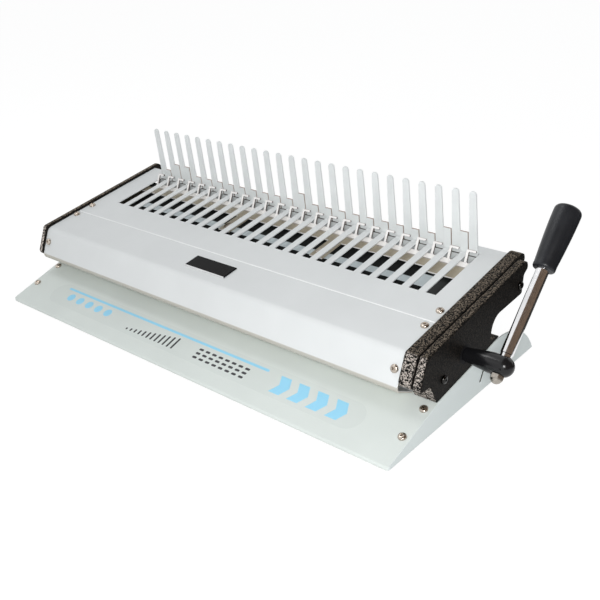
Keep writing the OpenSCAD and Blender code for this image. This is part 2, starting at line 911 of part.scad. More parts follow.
// Bar across the body, with an ear at its right end
module guide_bar() {
    color(base_colour)
    difference() {
        in_body() {
            box([bar_left, -bar_u - bar_w / 2, -bar_bottom], [bar_right, -bar_u + bar_w / 2, -bar_top]);
            box([bar_right - ear_w, -bar_u, -bar_bottom], [bar_right, -ear_back, -bar_top]);
        }
        guide_screw_spots() translate([0, 0, -guide_sink])
            cylinder(r = guide_shank_r + seat_gap, h = guide_sink + through);
    }
}

// Brackets that carry the bar from the plates and pass under the hook arms; the right one is a wide step
module guide_brackets() {
    step = row / 2 + arm_in - arm_t - through;
    color(dark_colour) in_body() {
        box([cover_left, -bar_u - bar_w / 2, -bracket_low - bracket_t],
            [bar_left, -bar_u + bar_w / 2, -bracket_low]);
        box([bar_right, -bracket_front, -bracket_top - bracket_t], [step, -bracket_back, -bracket_top]);
        box([step - bracket_t, -bracket_front, -bracket_low - bracket_t],
            [step, -bracket_back, -bracket_top]);
        box([step - bracket_t, -bracket_front, -bracket_low - bracket_t],
            [cover_right, -bracket_back, -bracket_low]);
    }
}

// Shoulder screws: their heads stay just above the tongues that slide under them
module guide_screws() {
    head_low = bar_top - strip_top + slide_gap;
    color("silver") guide_screw_spots() {
        translate([0, 0, -guide_sink]) cylinder(r = guide_shank_r, h = guide_sink + head_low);
        translate([0, 0, head_low]) cylinder(r = guide_head_r, h = guide_head_h);
    }
}

// One hook in the plane of its flange: a stem with a rounded root, and a prong to the right with a round end
module hook_section() {
    right = hook_left + hook_w;
    stem = hook_left + hook_stem;
    under = lean_len - hook_prong;
    end_r = 0.45 * hook_prong;
    foot = flange_len - hook_root_r;
    root = stem + 2 * hook_root_r;
    polygon(rounded_loop([[hook_left, foot, 0], [hook_left, lean_len, hook_root_r], [right, lean_len, end_r],
        [right, under, end_r], [stem, under, 0.5], [stem, flange_len, hook_root_r], [root, flange_len, 0],
        [root, foot, 0]]));
}

// Flange along the rear edge, bent up under the cover, with the hooks standing on it
module hook_flange() {
    top = [-flat_back, -strip_top] + flange_len * lean_way;
    path = [[-flat_front, -strip_top, 0], [-flat_back, -strip_top, hook_bend], [top.x, top.y, 0]];
    across_x(-row / 2 + hook_left, row / 2 + hook_left + hook_w) sheet_section(path, -hook_t);
    for (i = every) {
        translate([row_x(i), -flat_back, -strip_top]) rotate([90 - hook_lean, 0, 0])
            translate([0, 0, -hook_t]) linear_extrude(hook_t) hook_section();
    }
}

// A tongue reaches forward over the guide bar, with a slot for its screw
module tongue(x) {
    low = -strip_low - through;
    high = -strip_top + through;
    difference() {
        box([x - tongue_w / 2, -bar_u - tongue_tip, -strip_low],
            [x + tongue_w / 2, -flat_front + 0.5, -strip_top]);
        translate([x, -bar_u, low]) cylinder(r = guide_slot_r, h = high - low);
        translate([x, -bar_u + hook_travel, low]) cylinder(r = guide_slot_r, h = high - low);
        box([x - guide_slot_r, -bar_u, low], [x + guide_slot_r, -bar_u + hook_travel, high]);
    }
}

module hook_plate() {
    color(steel_colour)
    difference() {
        in_body() {
            box([-row / 2 - hook_reach, -flat_front, -strip_low],
                [row / 2 + hook_reach, -flat_back - hook_bend, -strip_top]);
            box([row / 2 - flat_step, -flat_front_right, -strip_low],
                [row / 2 + hook_reach, -flat_front + through, -strip_top]);
            hook_flange();
            for (x = tongue_x) tongue(x);
        }
        rivet_spots() translate([0, 0, -through])
            cylinder(r = screw_d / 2 + seat_gap, h = 2 * through + hook_t);
    }
}

module rivet_spots() {
    in_body() both_ends() translate([arm_in, -flat_front + 4, -strip_low]) children();
}

module hook_rivets() {
    color("silver") rivet_spots() {
        translate([0, 0, -rivet_sink]) cylinder(r = screw_d / 2, h = rivet_sink + hook_t);
        translate([0, 0, hook_t]) cylinder(r = screw_d / 2 + 0.9, h = 0.8);
    }
}

// Arms from the hook plate forward to the cranks, each with an upright slot, open below, for the crank's pin
module hook_arms() {
    pin = hook_pin_rest.x;
    slot_top = -shaft_drop + hook_crank;
    x0 = arm_in;
    x1 = arm_in + arm_t;
    back = -flat_back - hook_bend;
    color(steel_colour)
    difference() {
        in_body() both_ends() difference() {
            union() {
                box([x0, pin, -strip_low - arm_h], [x1, back, -strip_low]);
                box([x0, pin - arm_block / 2, -arm_block_low], [x1, pin + arm_block / 2, -strip_low]);
                box([x0 - arm_t, -flat_front, -strip_low - rivet_sink], [x1, back, -strip_low]);
            }
            translate([0, pin, slot_top]) rod_x(slot_r, x0 - through, x1 + through);
            box([x0 - through, pin - slot_r, -arm_block_low - through],
                [x1 + through, pin + slot_r, slot_top]);
        }
        rivet_spots() translate([0, 0, -2 * rivet_sink])
            cylinder(r = screw_d / 2 + seat_gap, h = 3 * rivet_sink);
    }
}

// Punch and die

module punch_holes(low, high) {
    for (i = every) {
        box([row_x(i) - punch_w / 2 - punch_gap, -punch_u - punch_deep / 2 - punch_gap, low - through],
            [row_x(i) + punch_w / 2 + punch_gap, -punch_u + punch_deep / 2 + punch_gap, high + through]);
    }
}

module die_screw_spots() {
    in_body() {
        for (x = [cover_left + spacer_width / 2, cover_right - spacer_width / 2]) {
            translate([x, -punch_u, -guide_top]) children();
        }
    }
}

// The die fills the shelf's window and reaches under its edge
module die_plate() {
    color(steel_colour)
    difference() {
        in_body() {
            box([-row / 2 - fork_in, -die_front, -die_low], [row / 2 + fork_in, -die_back, -shelf_drop]);
            box([cover_left, -die_front - die_rim, -die_low], [cover_right, -die_back + die_rim, -die_ledge]);
        }
        in_body() punch_holes(-die_low, -shelf_drop);
        die_screw_spots() screw_hole(die_low - guide_top + through);
    }
}

// Spacers hold the guide above the shelf; the long one is the paper stop
module die_spacers() {
    color(steel_colour)
    difference() {
        in_body() {
            box([cover_left, -guide_front, -shelf_drop], [cover_left + spacer_width, -die_back, -guide_low]);
            box([cover_right - spacer_width, -guide_front, -shelf_drop],
                [cover_right, -die_back, -guide_low]);
            box([cover_left + spacer_width, -paper_stop, -shelf_drop],
                [cover_right - spacer_width, -die_back, -guide_low]);
        }
        die_screw_spots() screw_hole(die_low - guide_top);
    }
}

module punch_guide() {
    color(steel_colour)
    difference() {
        in_body() box([cover_left, -guide_front, -guide_low], [cover_right, -die_back, -guide_top]);
        in_body() punch_holes(-guide_low, -guide_top);
        die_screw_spots() screw_hole(2 * guide_t);
    }
}

module die_screws() {
    color("silver") die_screw_spots() screw(die_low - guide_top - 1);
}

module punch_bar() {
    color(steel_colour) in_body()
    box([-row / 2 - fork_in, -punch_u - bar_deep / 2, -bar_low],
        [row / 2 + fork_in, -punch_u + bar_deep / 2, -bar_low + bar_h]);
}

module punch_pins() {
    color("silver") in_body()
    for (i = every) {
        box([row_x(i) - punch_w / 2, -punch_u - punch_deep / 2, -punch_tip],
            [row_x(i) + punch_w / 2, -punch_u + punch_deep / 2, -bar_low]);
    }
}

// Forks on the bar's ends, each around a crank's pin; their lower prongs pass behind the guide
module punch_forks() {
    pin = punch_pin_rest.y;
    x0 = fork_in;
    x1 = fork_in + fork_t;
    color(steel_colour) in_body() both_ends()
    difference() {
        union() {
            box([x0, -punch_u - bar_deep / 2, -bar_low], [x1, -fork_tip, pin + slot_r + fork_wall]);
            box([x0, -fork_root, pin - slot_r - fork_wall], [x1, -fork_tip, pin]);
        }
        box([x0 - through, -fork_mouth, pin - slot_r], [x1 + through, -fork_tip + through, pin + slot_r]);
    }
}

// Shaft, cranks and lever

module bush(length) {
    difference() {
        union() {
            rod_x(bush_r, 0, length);
            rod_x(bush_flange_r, -bush_flange_t, 0);
        }
        rod_x(shaft_d / 2 + shaft_gap, -2 * bush_flange_t, length + through);
    }
}

module shaft_bushes() {
    color(dark_colour) {
        at_body(cover_left, -shaft_u, -shaft_drop) mirror([1, 0, 0]) bush(left_plate_t);
        at_body(cover_right, -shaft_u, -shaft_drop) bush(body_right - cover_right);
    }
}

// Shaft with its hub: a cone that grows to a round end, drilled across for the rod
module main_shaft() {
    color(dark_colour)
    difference() {
        translate([0, shaft_at.x, shaft_at.y]) union() {
            rod_x(shaft_d / 2, plate_left, body_right + slide_gap);
            translate([body_right + slide_gap, 0, 0]) rotate([0, 90, 0])
                cylinder(r1 = shaft_d / 2 + 0.3, r2 = hub_r, h = hub_cone - slide_gap);
            rod_x(hub_r, body_right + hub_cone, lever_x + 1.5);
            translate([lever_x + 1.5, 0, 0]) sphere(r = hub_r);
        }
        along_lever() cylinder(r = rod_d / 2 + seat_gap, h = 2 * hub_r);
        along_lever() translate([0, 0, -2 * hub_r]) cylinder(r = rod_end_r + seat_gap, h = 2.1 * hub_r);
        along_lever() translate([0, 0, -2 * hub_r]) cylinder(r = nut_r + slide_gap, h = 2 * hub_r - nut_seat);
    }
}

module cranks() {
    color(steel_colour) in_body() both_ends()
    difference() {
        union() {
            translate([0, -shaft_u, -shaft_drop]) rod_x(crank_r, crank_in, crank_in + crank_t);
            translate([0, hook_pin_rest.x, hook_pin_rest.y]) {
                rod_x(crank_boss_r, crank_in, crank_in + crank_t);
                rod_x(crank_pin_r, crank_in, arm_in + arm_t + 0.6);
            }
            translate([0, punch_pin_rest.x, punch_pin_rest.y]) {
                rod_x(crank_boss_r, crank_in, crank_in + crank_t);
                rod_x(crank_pin_r, fork_in + 0.2, crank_in + crank_t);
            }
        }
        translate([0, -shaft_u, -shaft_drop]) rod_x(shaft_d / 2 + seat_gap, 0, 2 * arm_in);
    }
}

// Rod from the hub into the grip, turned down where it passes through the hub
module lever_rod() {
    color("silver") along_lever() {
        cylinder(r = rod_d / 2, h = grip_start + rod_sink);
        translate([0, 0, -nut_seat - nut_h - rod_over])
            cylinder(r = rod_end_r, h = nut_seat + nut_h + rod_over + 0.1);
    }
}

// Domed nut on the rod's end
module lever_nut() {
    color("silver") along_lever() translate([0, 0, -nut_seat - nut_h])
    difference() {
        union() {
            cylinder(r = nut_r, h = nut_h, $fn = 6);
            intersection() {
                translate([0, 0, nut_dome_up]) sphere(r = nut_dome_r);
                translate([0, 0, -nut_dome_r]) cylinder(r = nut_r, h = nut_dome_r + nut_h);
            }
        }
        translate([0, 0, -rod_over - seat_gap])
            cylinder(r = rod_end_r + seat_gap, h = rod_over + nut_h + through);
    }
}

// Grip: a turned handle that swells towards its domed end
module lever_grip() {
    dome = grip_d / 2;
    color(dark_colour) along_lever() translate([0, 0, grip_start])
    difference() {
        rotate_extrude() polygon(concat(
            [[0, 0]],
            [[grip_mouth_r - 1, 0], [grip_mouth_r, 1], [grip_mouth_r - 0.4, grip_waist]],
            [for (k = [0 : 10]) let (s = k / 10)
                [grip_mouth_r - 0.4 + (grip_d / 2 - grip_mouth_r + 0.4) * sin(90 * s),
                    grip_waist + (grip_len - 0.5 * dome - grip_waist) * s]],
            [for (k = [1 : 8]) let (a = 90 * k / 8)
                [grip_d / 2 * cos(a) ^ 0.7, grip_len - 0.5 * dome + 0.5 * dome * sin(a)]]
        ));
        translate([0, 0, -through]) cylinder(r = rod_d / 2 + seat_gap, h = rod_sink + through);
    }
}

translate(-middle) {
    base_cover();
    base_pan();
    base_posts();
    base_screws();
    rubber_feet();
    chip_tray();
    left_frame_plate();
    right_inner_cheek();
    right_frame_plate();
    plate_screws();
    frame_screws();
    top_cover();
    front_cover();
    cover_screws();
    badge_plate();
    rear_cover();
    finger_strip();
    comb_fingers();
    finger_screws();
    rear_beam();
    front_tie_rod();
    guide_bar();
    guide_brackets();
    guide_screws();
    hook_plate();
    hook_arms();
    hook_rivets();
    die_plate();
    die_spacers();
    die_screws();
    punch_guide();
    punch_bar();
    punch_pins();
    punch_forks();
    shaft_bushes();
    main_shaft();
    cranks();
    lever_rod();
    lever_nut();
    lever_grip();
}
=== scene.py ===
"""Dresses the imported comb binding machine: soft sheet edges, paints and platings, screws, grip, print and stage."""

import json
import math

import bmesh
import bpy
from bpy.props import FloatProperty, FloatVectorProperty, IntProperty, PointerProperty
from mathutils import Matrix, Vector


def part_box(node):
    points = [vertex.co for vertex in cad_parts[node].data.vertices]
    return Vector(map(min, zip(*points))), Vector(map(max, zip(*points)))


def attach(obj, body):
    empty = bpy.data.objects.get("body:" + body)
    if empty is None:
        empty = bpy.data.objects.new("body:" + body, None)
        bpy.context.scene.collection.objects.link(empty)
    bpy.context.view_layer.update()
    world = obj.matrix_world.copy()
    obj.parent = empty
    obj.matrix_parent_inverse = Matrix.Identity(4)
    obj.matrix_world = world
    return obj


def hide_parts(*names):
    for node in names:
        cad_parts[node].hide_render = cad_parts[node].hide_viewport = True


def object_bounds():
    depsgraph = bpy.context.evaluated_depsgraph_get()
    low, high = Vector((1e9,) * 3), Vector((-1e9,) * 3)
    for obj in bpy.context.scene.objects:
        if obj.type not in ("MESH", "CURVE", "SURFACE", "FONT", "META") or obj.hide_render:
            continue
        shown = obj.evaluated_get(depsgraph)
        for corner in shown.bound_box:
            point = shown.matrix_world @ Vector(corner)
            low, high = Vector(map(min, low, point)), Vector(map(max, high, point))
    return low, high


bl_info = {
    "name": "Comb Binding Machine",
    "version": (1, 0, 0),
    "blender": (4, 5, 0),
    "location": "View3D > Sidebar > Comb Binder",
    "description": "Finishes a comb binding machine over its CAD frame",
    "category": "Object",
}

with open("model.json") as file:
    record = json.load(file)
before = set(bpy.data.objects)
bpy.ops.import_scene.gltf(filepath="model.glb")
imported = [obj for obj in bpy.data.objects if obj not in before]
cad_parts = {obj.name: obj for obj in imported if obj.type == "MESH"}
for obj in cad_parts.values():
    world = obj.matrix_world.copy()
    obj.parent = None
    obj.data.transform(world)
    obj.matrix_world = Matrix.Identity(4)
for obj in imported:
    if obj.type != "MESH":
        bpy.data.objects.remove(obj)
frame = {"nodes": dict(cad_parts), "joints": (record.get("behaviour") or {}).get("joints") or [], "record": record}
CAD_BOX = [[float(v) for v in corner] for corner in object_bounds()]
MM = 0.001

# The body leans back on its base; its own axes start at the middle of the finger row, on the cover:
# x across, u back along the cover, w square to the cover
BODY_TILT = math.radians(9.0)
ROW_X = sum(float(corner[0]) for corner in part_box("comb_fingers")) / 2
FRONT_Y = CAD_BOX[0][1]
ROW_POINT = Vector((ROW_X, FRONT_Y + 165.4 * MM, 77.2 * MM))
BODY_FRAME = Matrix.Translation(ROW_POINT) @ Matrix.Rotation(BODY_TILT, 4, "X")
BODY_BACK = BODY_FRAME.col[1].xyz
BODY_UP = BODY_FRAME.col[2].xyz
INTO_BODY = BODY_FRAME.inverted()
# The base's sloping table has axes of its own, from the middle of its front edge
TABLE_SLOPE = math.radians(17.4)
TABLE_START = Vector((ROW_X, FRONT_Y, 4.5 * MM))
TABLE_FRAME = Matrix.Translation(TABLE_START) @ Matrix.Rotation(TABLE_SLOPE, 4, "X")
# Slant of the front cover's face, and directions that the broad faces of the hooks and of the fingers face
FACE_SLANT = math.radians(33.2)
HOOK_LEAN = math.radians(33.0)
HOOK_FACE = BODY_FRAME.to_3x3() @ Vector((0.0, math.cos(HOOK_LEAN), -math.sin(HOOK_LEAN)))
FINGER_TILT = math.radians(4.7)
FINGER_FACE = BODY_FRAME.to_3x3() @ Vector((0.0, math.cos(FINGER_TILT), -math.sin(FINGER_TILT)))
# The slot in the base's right wall
WALL_SLOT = Vector((float(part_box("base_cover")[1][0]), FRONT_Y + 111.7 * MM, 14.3 * MM))
SLOT_REACH = 5.5 * MM
# The band of painted highlight along the top cover's front edge, and the edges that are rounded there
SEAM_HIGHLIGHT_AT = (-84.7 * MM, -84.2 * MM)
SEAM_EDGES = -85.0 * MM
# How much longer the front cover's face and the finger strip are than their solids
CHIN_DROP = 4.2 * MM
CHIN_BAND = (-25.0 * MM, -14.5 * MM)
STRIP_EXTRA = 9.0 * MM
# Places of the screws in millimetres: on the top cover (x, then u), on the front cover's face (u, w),
# on the table (x, up the slope) and on the frame plates (u, w)
COVER_SCREW_X = (-195.5, 189.0)
COVER_SCREW_U = (-72.6, -91.2)
FACE_SCREW = (-121.0, -10.0)
TABLE_SCREWS = ((-199.3, 24.6), (-199.3, 50.0), (206.7, 24.6), (206.7, 50.0))
PLATE_SCREWS = ((-107.5, -24.6), (-5.2, -12.8))
# The lever at rest; radii and distances from the hub's middle in millimetres
LEVER_LEAN = math.radians(-46.0)
ROD_END = (2.98, -11.0)  # radius, distance
ROD_SEAT = 3.98
ROD_SHOWN = (4.4, 8.2, 69.8)  # radius, start, end
ROD_TOP = 90.0
GRIP_MOUTH = (7.65, 70.0, 74.0)  # radius, start, end
GRIP_SWELL = (1.75, 38.8)  # growth of the radius, length
GRIP_DOME = (3.0, 3.5)  # rounding of the radius, length
# Middle part of a noise's range, over which it carries colour and gloss
MIDDLE = (0.3, 0.7)
SIDEWAYS = (1.0, 0.0, 0.0)
FORWARD = (0.0, -1.0, 0.0)
UPWARD = (0.0, 0.0, 1.0)


class BinderColours(bpy.types.PropertyGroup):
    """Colours of the paints, platings and plastics"""

    base: FloatVectorProperty(
        name="Base paint", description="Pale paint of the base", subtype="COLOR", default=(0.74, 0.79, 0.76)
    )
    cover: FloatVectorProperty(
        name="Cover paint", description="Grey paint of the two covers", subtype="COLOR", default=(0.78, 0.80, 0.80)
    )
    fingers: FloatVectorProperty(
        name="Fingers", description="Pale finish of the comb fingers", subtype="COLOR", default=(0.87, 0.90, 0.895)
    )
    guide: FloatVectorProperty(
        name="Guide bar", description="Paint of the bar under the slots", subtype="COLOR", default=(0.60, 0.66, 0.68)
    )
    speckle_dark: FloatVectorProperty(
        name="Plate paint",
        description="Dark ground of the speckled paint",
        subtype="COLOR",
        default=(0.004, 0.004, 0.004),
    )
    speckle_light: FloatVectorProperty(
        name="Plate speckle",
        description="Bronze specks of the plate paint",
        subtype="COLOR",
        default=(0.19, 0.155, 0.12),
    )
    # Painted highlight: lighter specks where the plates face forward
    speckle_front_highlight: FloatVectorProperty(
        name="Front speckle",
        description="Specks where the plates face forward",
        subtype="COLOR",
        default=(0.56, 0.50, 0.45),
    )
    plating: FloatVectorProperty(
        name="Plating",
        description="Warm plating of the hook plate and drive",
        subtype="COLOR",
        default=(0.44, 0.39, 0.30),
    )
    # Painted highlight: the pale colour of the hooks bent up from the plated stamping
    hooks: FloatVectorProperty(
        name="Hooks", description="Pale face of the hooks", subtype="COLOR", default=(0.97, 0.945, 0.925)
    )
    # Brown of the cut edges: partly the bare edges' own colour, partly painted shade
    cut_edge: FloatVectorProperty(
        name="Cut edges", description="Brown of the stamped edges", subtype="COLOR", default=(0.13, 0.10, 0.085)
    )
    grip: FloatVectorProperty(
        name="Grip", description="Plastic of the lever's grip", subtype="COLOR", default=(0.012, 0.0135, 0.017)
    )
    print_blue: FloatVectorProperty(
        name="Print", description="Blue ink of the table's print", subtype="COLOR", default=(0.34, 0.72, 0.95)
    )
    print_grey: FloatVectorProperty(
        name="Print panel", description="Grey ink of the table's panel", subtype="COLOR", default=(0.705, 0.755, 0.728)
    )
    print_dark: FloatVectorProperty(
        name="Print marks", description="Dark ink of the table's print", subtype="COLOR", default=(0.045, 0.045, 0.05)
    )


class BinderSizes(bpy.types.PropertyGroup):
    """Sizes of the details that are added to the frame"""

    sheet_edge: FloatProperty(
        name="Sheet edge", description="Rounding of the sheet metal's edges", unit="LENGTH", default=0.3 * MM
    )
    plate_edge: FloatProperty(
        name="Plate edge", description="Rounding of the frame plates' edges", unit="LENGTH", default=1.7 * MM
    )
    stamped_edge: FloatProperty(
        name="Stamped edge", description="Rounding of the stamped fingers and hooks", unit="LENGTH", default=0.15 * MM
    )
    screw_head: FloatProperty(
        name="Screw head", description="Diameter of the pan heads", unit="LENGTH", default=6.0 * MM
    )
    screw_rise: FloatProperty(
        name="Screw rise", description="Height of the pan heads", unit="LENGTH", default=2.0 * MM
    )
    grip_sides: IntProperty(name="Grip sides", description="Steps round the grip and rod", default=64, min=12)
    print_rise: FloatProperty(
        name="Print thickness", description="Thickness of the printed film", unit="LENGTH", default=0.06 * MM
    )


class BinderSettings(bpy.types.PropertyGroup):
    """Everything a user would change"""

    colours: PointerProperty(type=BinderColours)
    sizes: PointerProperty(type=BinderSizes)


def settings():
    """The values of the panel's property groups"""
    return bpy.context.scene.comb_binder


# Materials


def add_node(tree, kind, **values):
    """A shader node whose sockets or settings hold the given values"""
    node = tree.nodes.new(kind)
    for key, value in values.items():
        if key in node.inputs:
            node.inputs[key].default_value = value
        else:
            setattr(node, key, value)
    return node


def start_material(name, **shader):
    """A material with a Principled shader whose sockets hold the given values, made only once"""
    made = bpy.data.materials.get(f"{name} finish")
    if made:
        return made, None, None
    made = bpy.data.materials.new(f"{name} finish")
    made.use_nodes = True
    tree = made.node_tree
    tree.nodes.clear()
    output = add_node(tree, "ShaderNodeOutputMaterial")
    surface = add_node(tree, "ShaderNodeBsdfPrincipled")
    for socket, value in shader.items():
        surface.inputs[socket.replace("_", " ")].default_value = value
    tree.links.new(surface.outputs["BSDF"], output.inputs["Surface"])
    return made, tree, surface


def object_place(tree):
    """The point on the piece, in the shared frame"""
    return add_node(tree, "ShaderNodeTexCoord").outputs["Object"]


def noise(tree, place, scale, detail=3.0, roughness=0.55):
    """A noise texture; scale counts its features in a metre"""
    node = add_node(tree, "ShaderNodeTexNoise", Scale=scale, Detail=detail, Roughness=roughness)
    tree.links.new(place, node.inputs["Vector"])
    return node.outputs["Fac"]


def ramp(tree, fac, low, high):
    """A colour ramp between two colours over the middle of a noise's range"""
    node = add_node(tree, "ShaderNodeValToRGB")
    for element, position, colour in zip(node.color_ramp.elements, MIDDLE, (low, high)):
        element.position = position
        element.color = (*colour, 1.0)
    tree.links.new(fac, node.inputs["Fac"])
    return node.outputs["Color"]


def span(tree, value, low, high, to_low, to_high):
    """A value moved from one range to another, held at the ends"""
    node = add_node(tree, "ShaderNodeMapRange")
    node.inputs["From Min"].default_value = low
    node.inputs["From Max"].default_value = high
    node.inputs["To Min"].default_value = to_low
    node.inputs["To Max"].default_value = to_high
    tree.links.new(value, node.inputs["Value"])
    return node.outputs["Result"]


def bump(tree, surface, height, strength, distance):
    """Fine relief on a surface"""
    node = add_node(tree, "ShaderNodeBump", Strength=strength, Distance=distance)
    tree.links.new(height, node.inputs["Height"])
    tree.links.new(node.outputs["Normal"], surface.inputs["Normal"])


def math_node(tree, operation, first, second=None):
    """A Math node of one or two inputs, each a socket or a number"""
    node = add_node(tree, "ShaderNodeMath", operation=operation)
    for index, value in enumerate((first, second)):
        if isinstance(value, bpy.types.NodeSocket):
            tree.links.new(value, node.inputs[index])
        elif value is not None:
            node.inputs[index].default_value = value
    return node.outputs["Value"]


def facing(tree, axis):
    """How far the surface faces along an axis, from -1 to 1"""
    node = add_node(tree, "ShaderNodeVectorMath", operation="DOT_PRODUCT")
    tree.links.new(add_node(tree, "ShaderNodeNewGeometry").outputs["Normal"], node.inputs[0])
    node.inputs[1].default_value = axis
    return node.outputs["Value"]


def blended(tree, fac, first, second):
    """A colour mixed between two, each a socket or a colour"""
    node = add_node(tree, "ShaderNodeMix", data_type="RGBA")
    tree.links.new(fac, node.inputs["Factor"])
    for name, value in (("A", first), ("B", second)):
        socket = next(entry for entry in node.inputs if entry.name == name and entry.type == "RGBA")
        if isinstance(value, bpy.types.NodeSocket):
            tree.links.new(value, socket)
        else:
            socket.default_value = (*value, 1.0)
    return next(entry for entry in node.outputs if entry.type == "RGBA")


def cut_edges(tree, broad):
    """One on the stamped edges of a sheet, nought on its broad faces, which face along the given direction"""
    return span(tree, math_node(tree, "ABSOLUTE", facing(tree, broad)), 0.6, 0.85, 1.0, 0.0)


def body_distance(tree, place, axis):
    """Distance from the finger row along one of the body's directions"""
    from_row = add_node(tree, "ShaderNodeVectorMath", operation="SUBTRACT")
    tree.links.new(place, from_row.inputs[0])
    from_row.inputs[1].default_value = ROW_POINT
    along = add_node(tree, "ShaderNodeVectorMath", operation="DOT_PRODUCT")
    tree.links.new(from_row.outputs["Vector"], along.inputs[0])
    along.inputs[1].default_value = axis
    return along.outputs["Value"]


def scaled(colour, factor):
    """A colour made brighter or darker"""
    return tuple(min(1.0, channel * factor) for channel in colour)


def drift(tree, tone, colour, low, high):
    """A colour that a noise carries between two shares of itself"""
    return ramp(tree, tone, scaled(colour, low), scaled(colour, high))


def set_colour(tree, surface, colour):
    """Gives a surface its colour"""
    tree.links.new(colour, surface.inputs["Base Color"])


def set_gloss(tree, surface, grain, low, high):
    """Lets a noise carry a surface's roughness between two values"""
    tree.links.new(span(tree, grain, *MIDDLE, low, high), surface.inputs["Roughness"])


# Patches of painted shade and painted highlight: each gives its share of the surface and its colour


def chin_painted_shade(tree, place):
    """Painted shade under the front cover's chin: a duller beige on the faces that turn down"""
    return span(tree, facing(tree, UPWARD), 0.12, 0.34, 1.0, 0.0), (0.56, 0.54, 0.48)


def seam_painted_highlight(tree, place):
    """Painted highlight: a near-white band along the top cover's front edge, where it meets the front cover"""
    return span(tree, body_distance(tree, place, BODY_BACK), *SEAM_HIGHLIGHT_AT, 1.0, 0.0), (0.97, 0.98, 0.98)


def wall_painted_shade(tree, place):
    """Painted shade: a darker paint on the base's right wall, which faces sideways"""
    return span(tree, facing(tree, SIDEWAYS), 0.5, 0.8, 0.0, 1.0), (0.72, 0.775, 0.765)


def slot_painted_shade(tree, place):
    """Painted shade: near-black on the edges of the slot in the base's right wall"""
    away = add_node(tree, "ShaderNodeVectorMath", operation="DISTANCE")
    tree.links.new(place, away.inputs[0])
    away.inputs[1].default_value = WALL_SLOT
    near = span(tree, away.outputs["Value"], SLOT_REACH, SLOT_REACH + 0.5 * MM, 1.0, 0.0)
    edge = span(tree, math_node(tree, "ABSOLUTE", facing(tree, SIDEWAYS)), 0.3, 0.6, 1.0, 0.0)
    return math_node(tree, "MULTIPLY", near, edge), (0.02, 0.017, 0.015)


def bar_front_painted_shade(tree, place):
    """Painted shade: near-black on the forward faces of the guide bar"""
    return span(tree, facing(tree, -BODY_BACK), 0.5, 0.8, 0.0, 1.0), (0.02, 0.022, 0.022)


# Finishes


def sheet_paint(name, colour, roughness=0.50, peel=0.05, patches=()):
    """Satin paint on sheet metal: slow tone changes, a fine orange peel, a broken gloss, and patches of painted shade
    and painted highlight
    """
    made, tree, surface = start_material(name, IOR=1.48, Specular_IOR_Level=0.3)
    if tree is None:
        return made
    place = object_place(tree)
    paint = drift(tree, noise(tree, place, 14.0), colour, 0.965, 1.03)
    for patch in patches:
        share, other = patch(tree, place)
        paint = blended(tree, share, paint, other)
    set_colour(tree, surface, paint)
    set_gloss(tree, surface, noise(tree, place, 60.0, 4.0, 0.6), roughness - 0.05, roughness + 0.07)
    bump(tree, surface, noise(tree, place, 950.0, 2.0, 0.5), peel, 0.2 * MM)
    return made


def speckled_paint(name, brighter=1.0):
    """Dark textured paint whose raised bronze specks are painted highlight: shown in full on the plates' rims and
    nose, faintly on their sideways faces, and lighter where they face forward
    """
    colours = settings().colours
    made, tree, surface = start_material(name, Specular_IOR_Level=0.05)
    if tree is None:
        return made
    place = object_place(tree)
    coarse = noise(tree, place, 950.0, 2.0, 0.6)
    fine = noise(tree, place, 1800.0, 3.0, 0.6)
    both = math_node(tree, "ADD", math_node(tree, "MULTIPLY", coarse, 0.7), math_node(tree, "MULTIPLY", fine, 0.3))
    specks = span(tree, both, 0.48, 0.57, 0.0, 1.0)
    # Painted highlight: the specks show in full where the plates do not face sideways, and lighter where they face
    # forward
    sideways = math_node(tree, "ABSOLUTE", facing(tree, SIDEWAYS))
    shown = math_node(tree, "MULTIPLY", specks, span(tree, sideways, 0.40, 0.92, 1.0, 0.09))
    forward = span(tree, facing(tree, FORWARD), 0.35, 0.8, 0.0, 1.0)
    light = blended(tree, forward, scaled(colours.speckle_light, brighter), scaled(colours.speckle_front_highlight, brighter))
    set_colour(tree, surface, blended(tree, shown, tuple(colours.speckle_dark), light))
    set_gloss(tree, surface, fine, 0.42, 0.62)
    bump(tree, surface, both, 0.55, 0.5 * MM)
    return made


def plated_metal(name, colour, roughness=0.28, stretch=(1.0, 1.0, 1.0), fine=700.0):
    """Plated or ground metal with fine drawn lines and cloudy gloss"""
    made, tree, surface = start_material(name, Metallic=1.0)
    if tree is None:
        return made
    place = object_place(tree)
    stretched = add_node(tree, "ShaderNodeMapping")
    stretched.inputs["Scale"].default_value = stretch
    tree.links.new(place, stretched.inputs["Vector"])
    lines = noise(tree, stretched.outputs["Vector"], fine, 3.0, 0.6)
    set_colour(tree, surface, drift(tree, noise(tree, place, 70.0), colour, 0.88, 1.06))
    set_gloss(tree, surface, lines, roughness - 0.06, roughness + 0.08)
    bump(tree, surface, lines, 0.06, 0.1 * MM)
    return made


def finger_plating(name, edge):
    """Pale finish of the fingers and their strip, with darker cut edges, partly the bare edges' colour and partly
    painted shade, and a band of painted shade along the joint under each finger
    """
    colours = settings().colours
    made, tree, surface = start_material(name, Specular_IOR_Level=0.4)
    if tree is None:
        return made
    place = object_place(tree)
    pale = drift(tree, noise(tree, place, 40.0), colours.fingers, 0.95, 1.03)
    body = blended(tree, cut_edges(tree, FINGER_FACE), pale, edge)
    # Painted shade: a dark band about 2 mm under the cover, along the joint under each finger
    height = body_distance(tree, place, BODY_UP)
    above = span(tree, height, -2.7 * MM, -2.5 * MM, 0.0, 1.0)
    joint = math_node(tree, "MULTIPLY", above, span(tree, height, -1.9 * MM, -1.7 * MM, 1.0, 0.0))
    set_colour(tree, surface, blended(tree, joint, body, scaled(colours.cut_edge, 0.3)))
    lines = noise(tree, place, 600.0, 3.0, 0.6)
    set_gloss(tree, surface, lines, 0.32, 0.46)
    bump(tree, surface, lines, 0.03, 0.1 * MM)
    return made


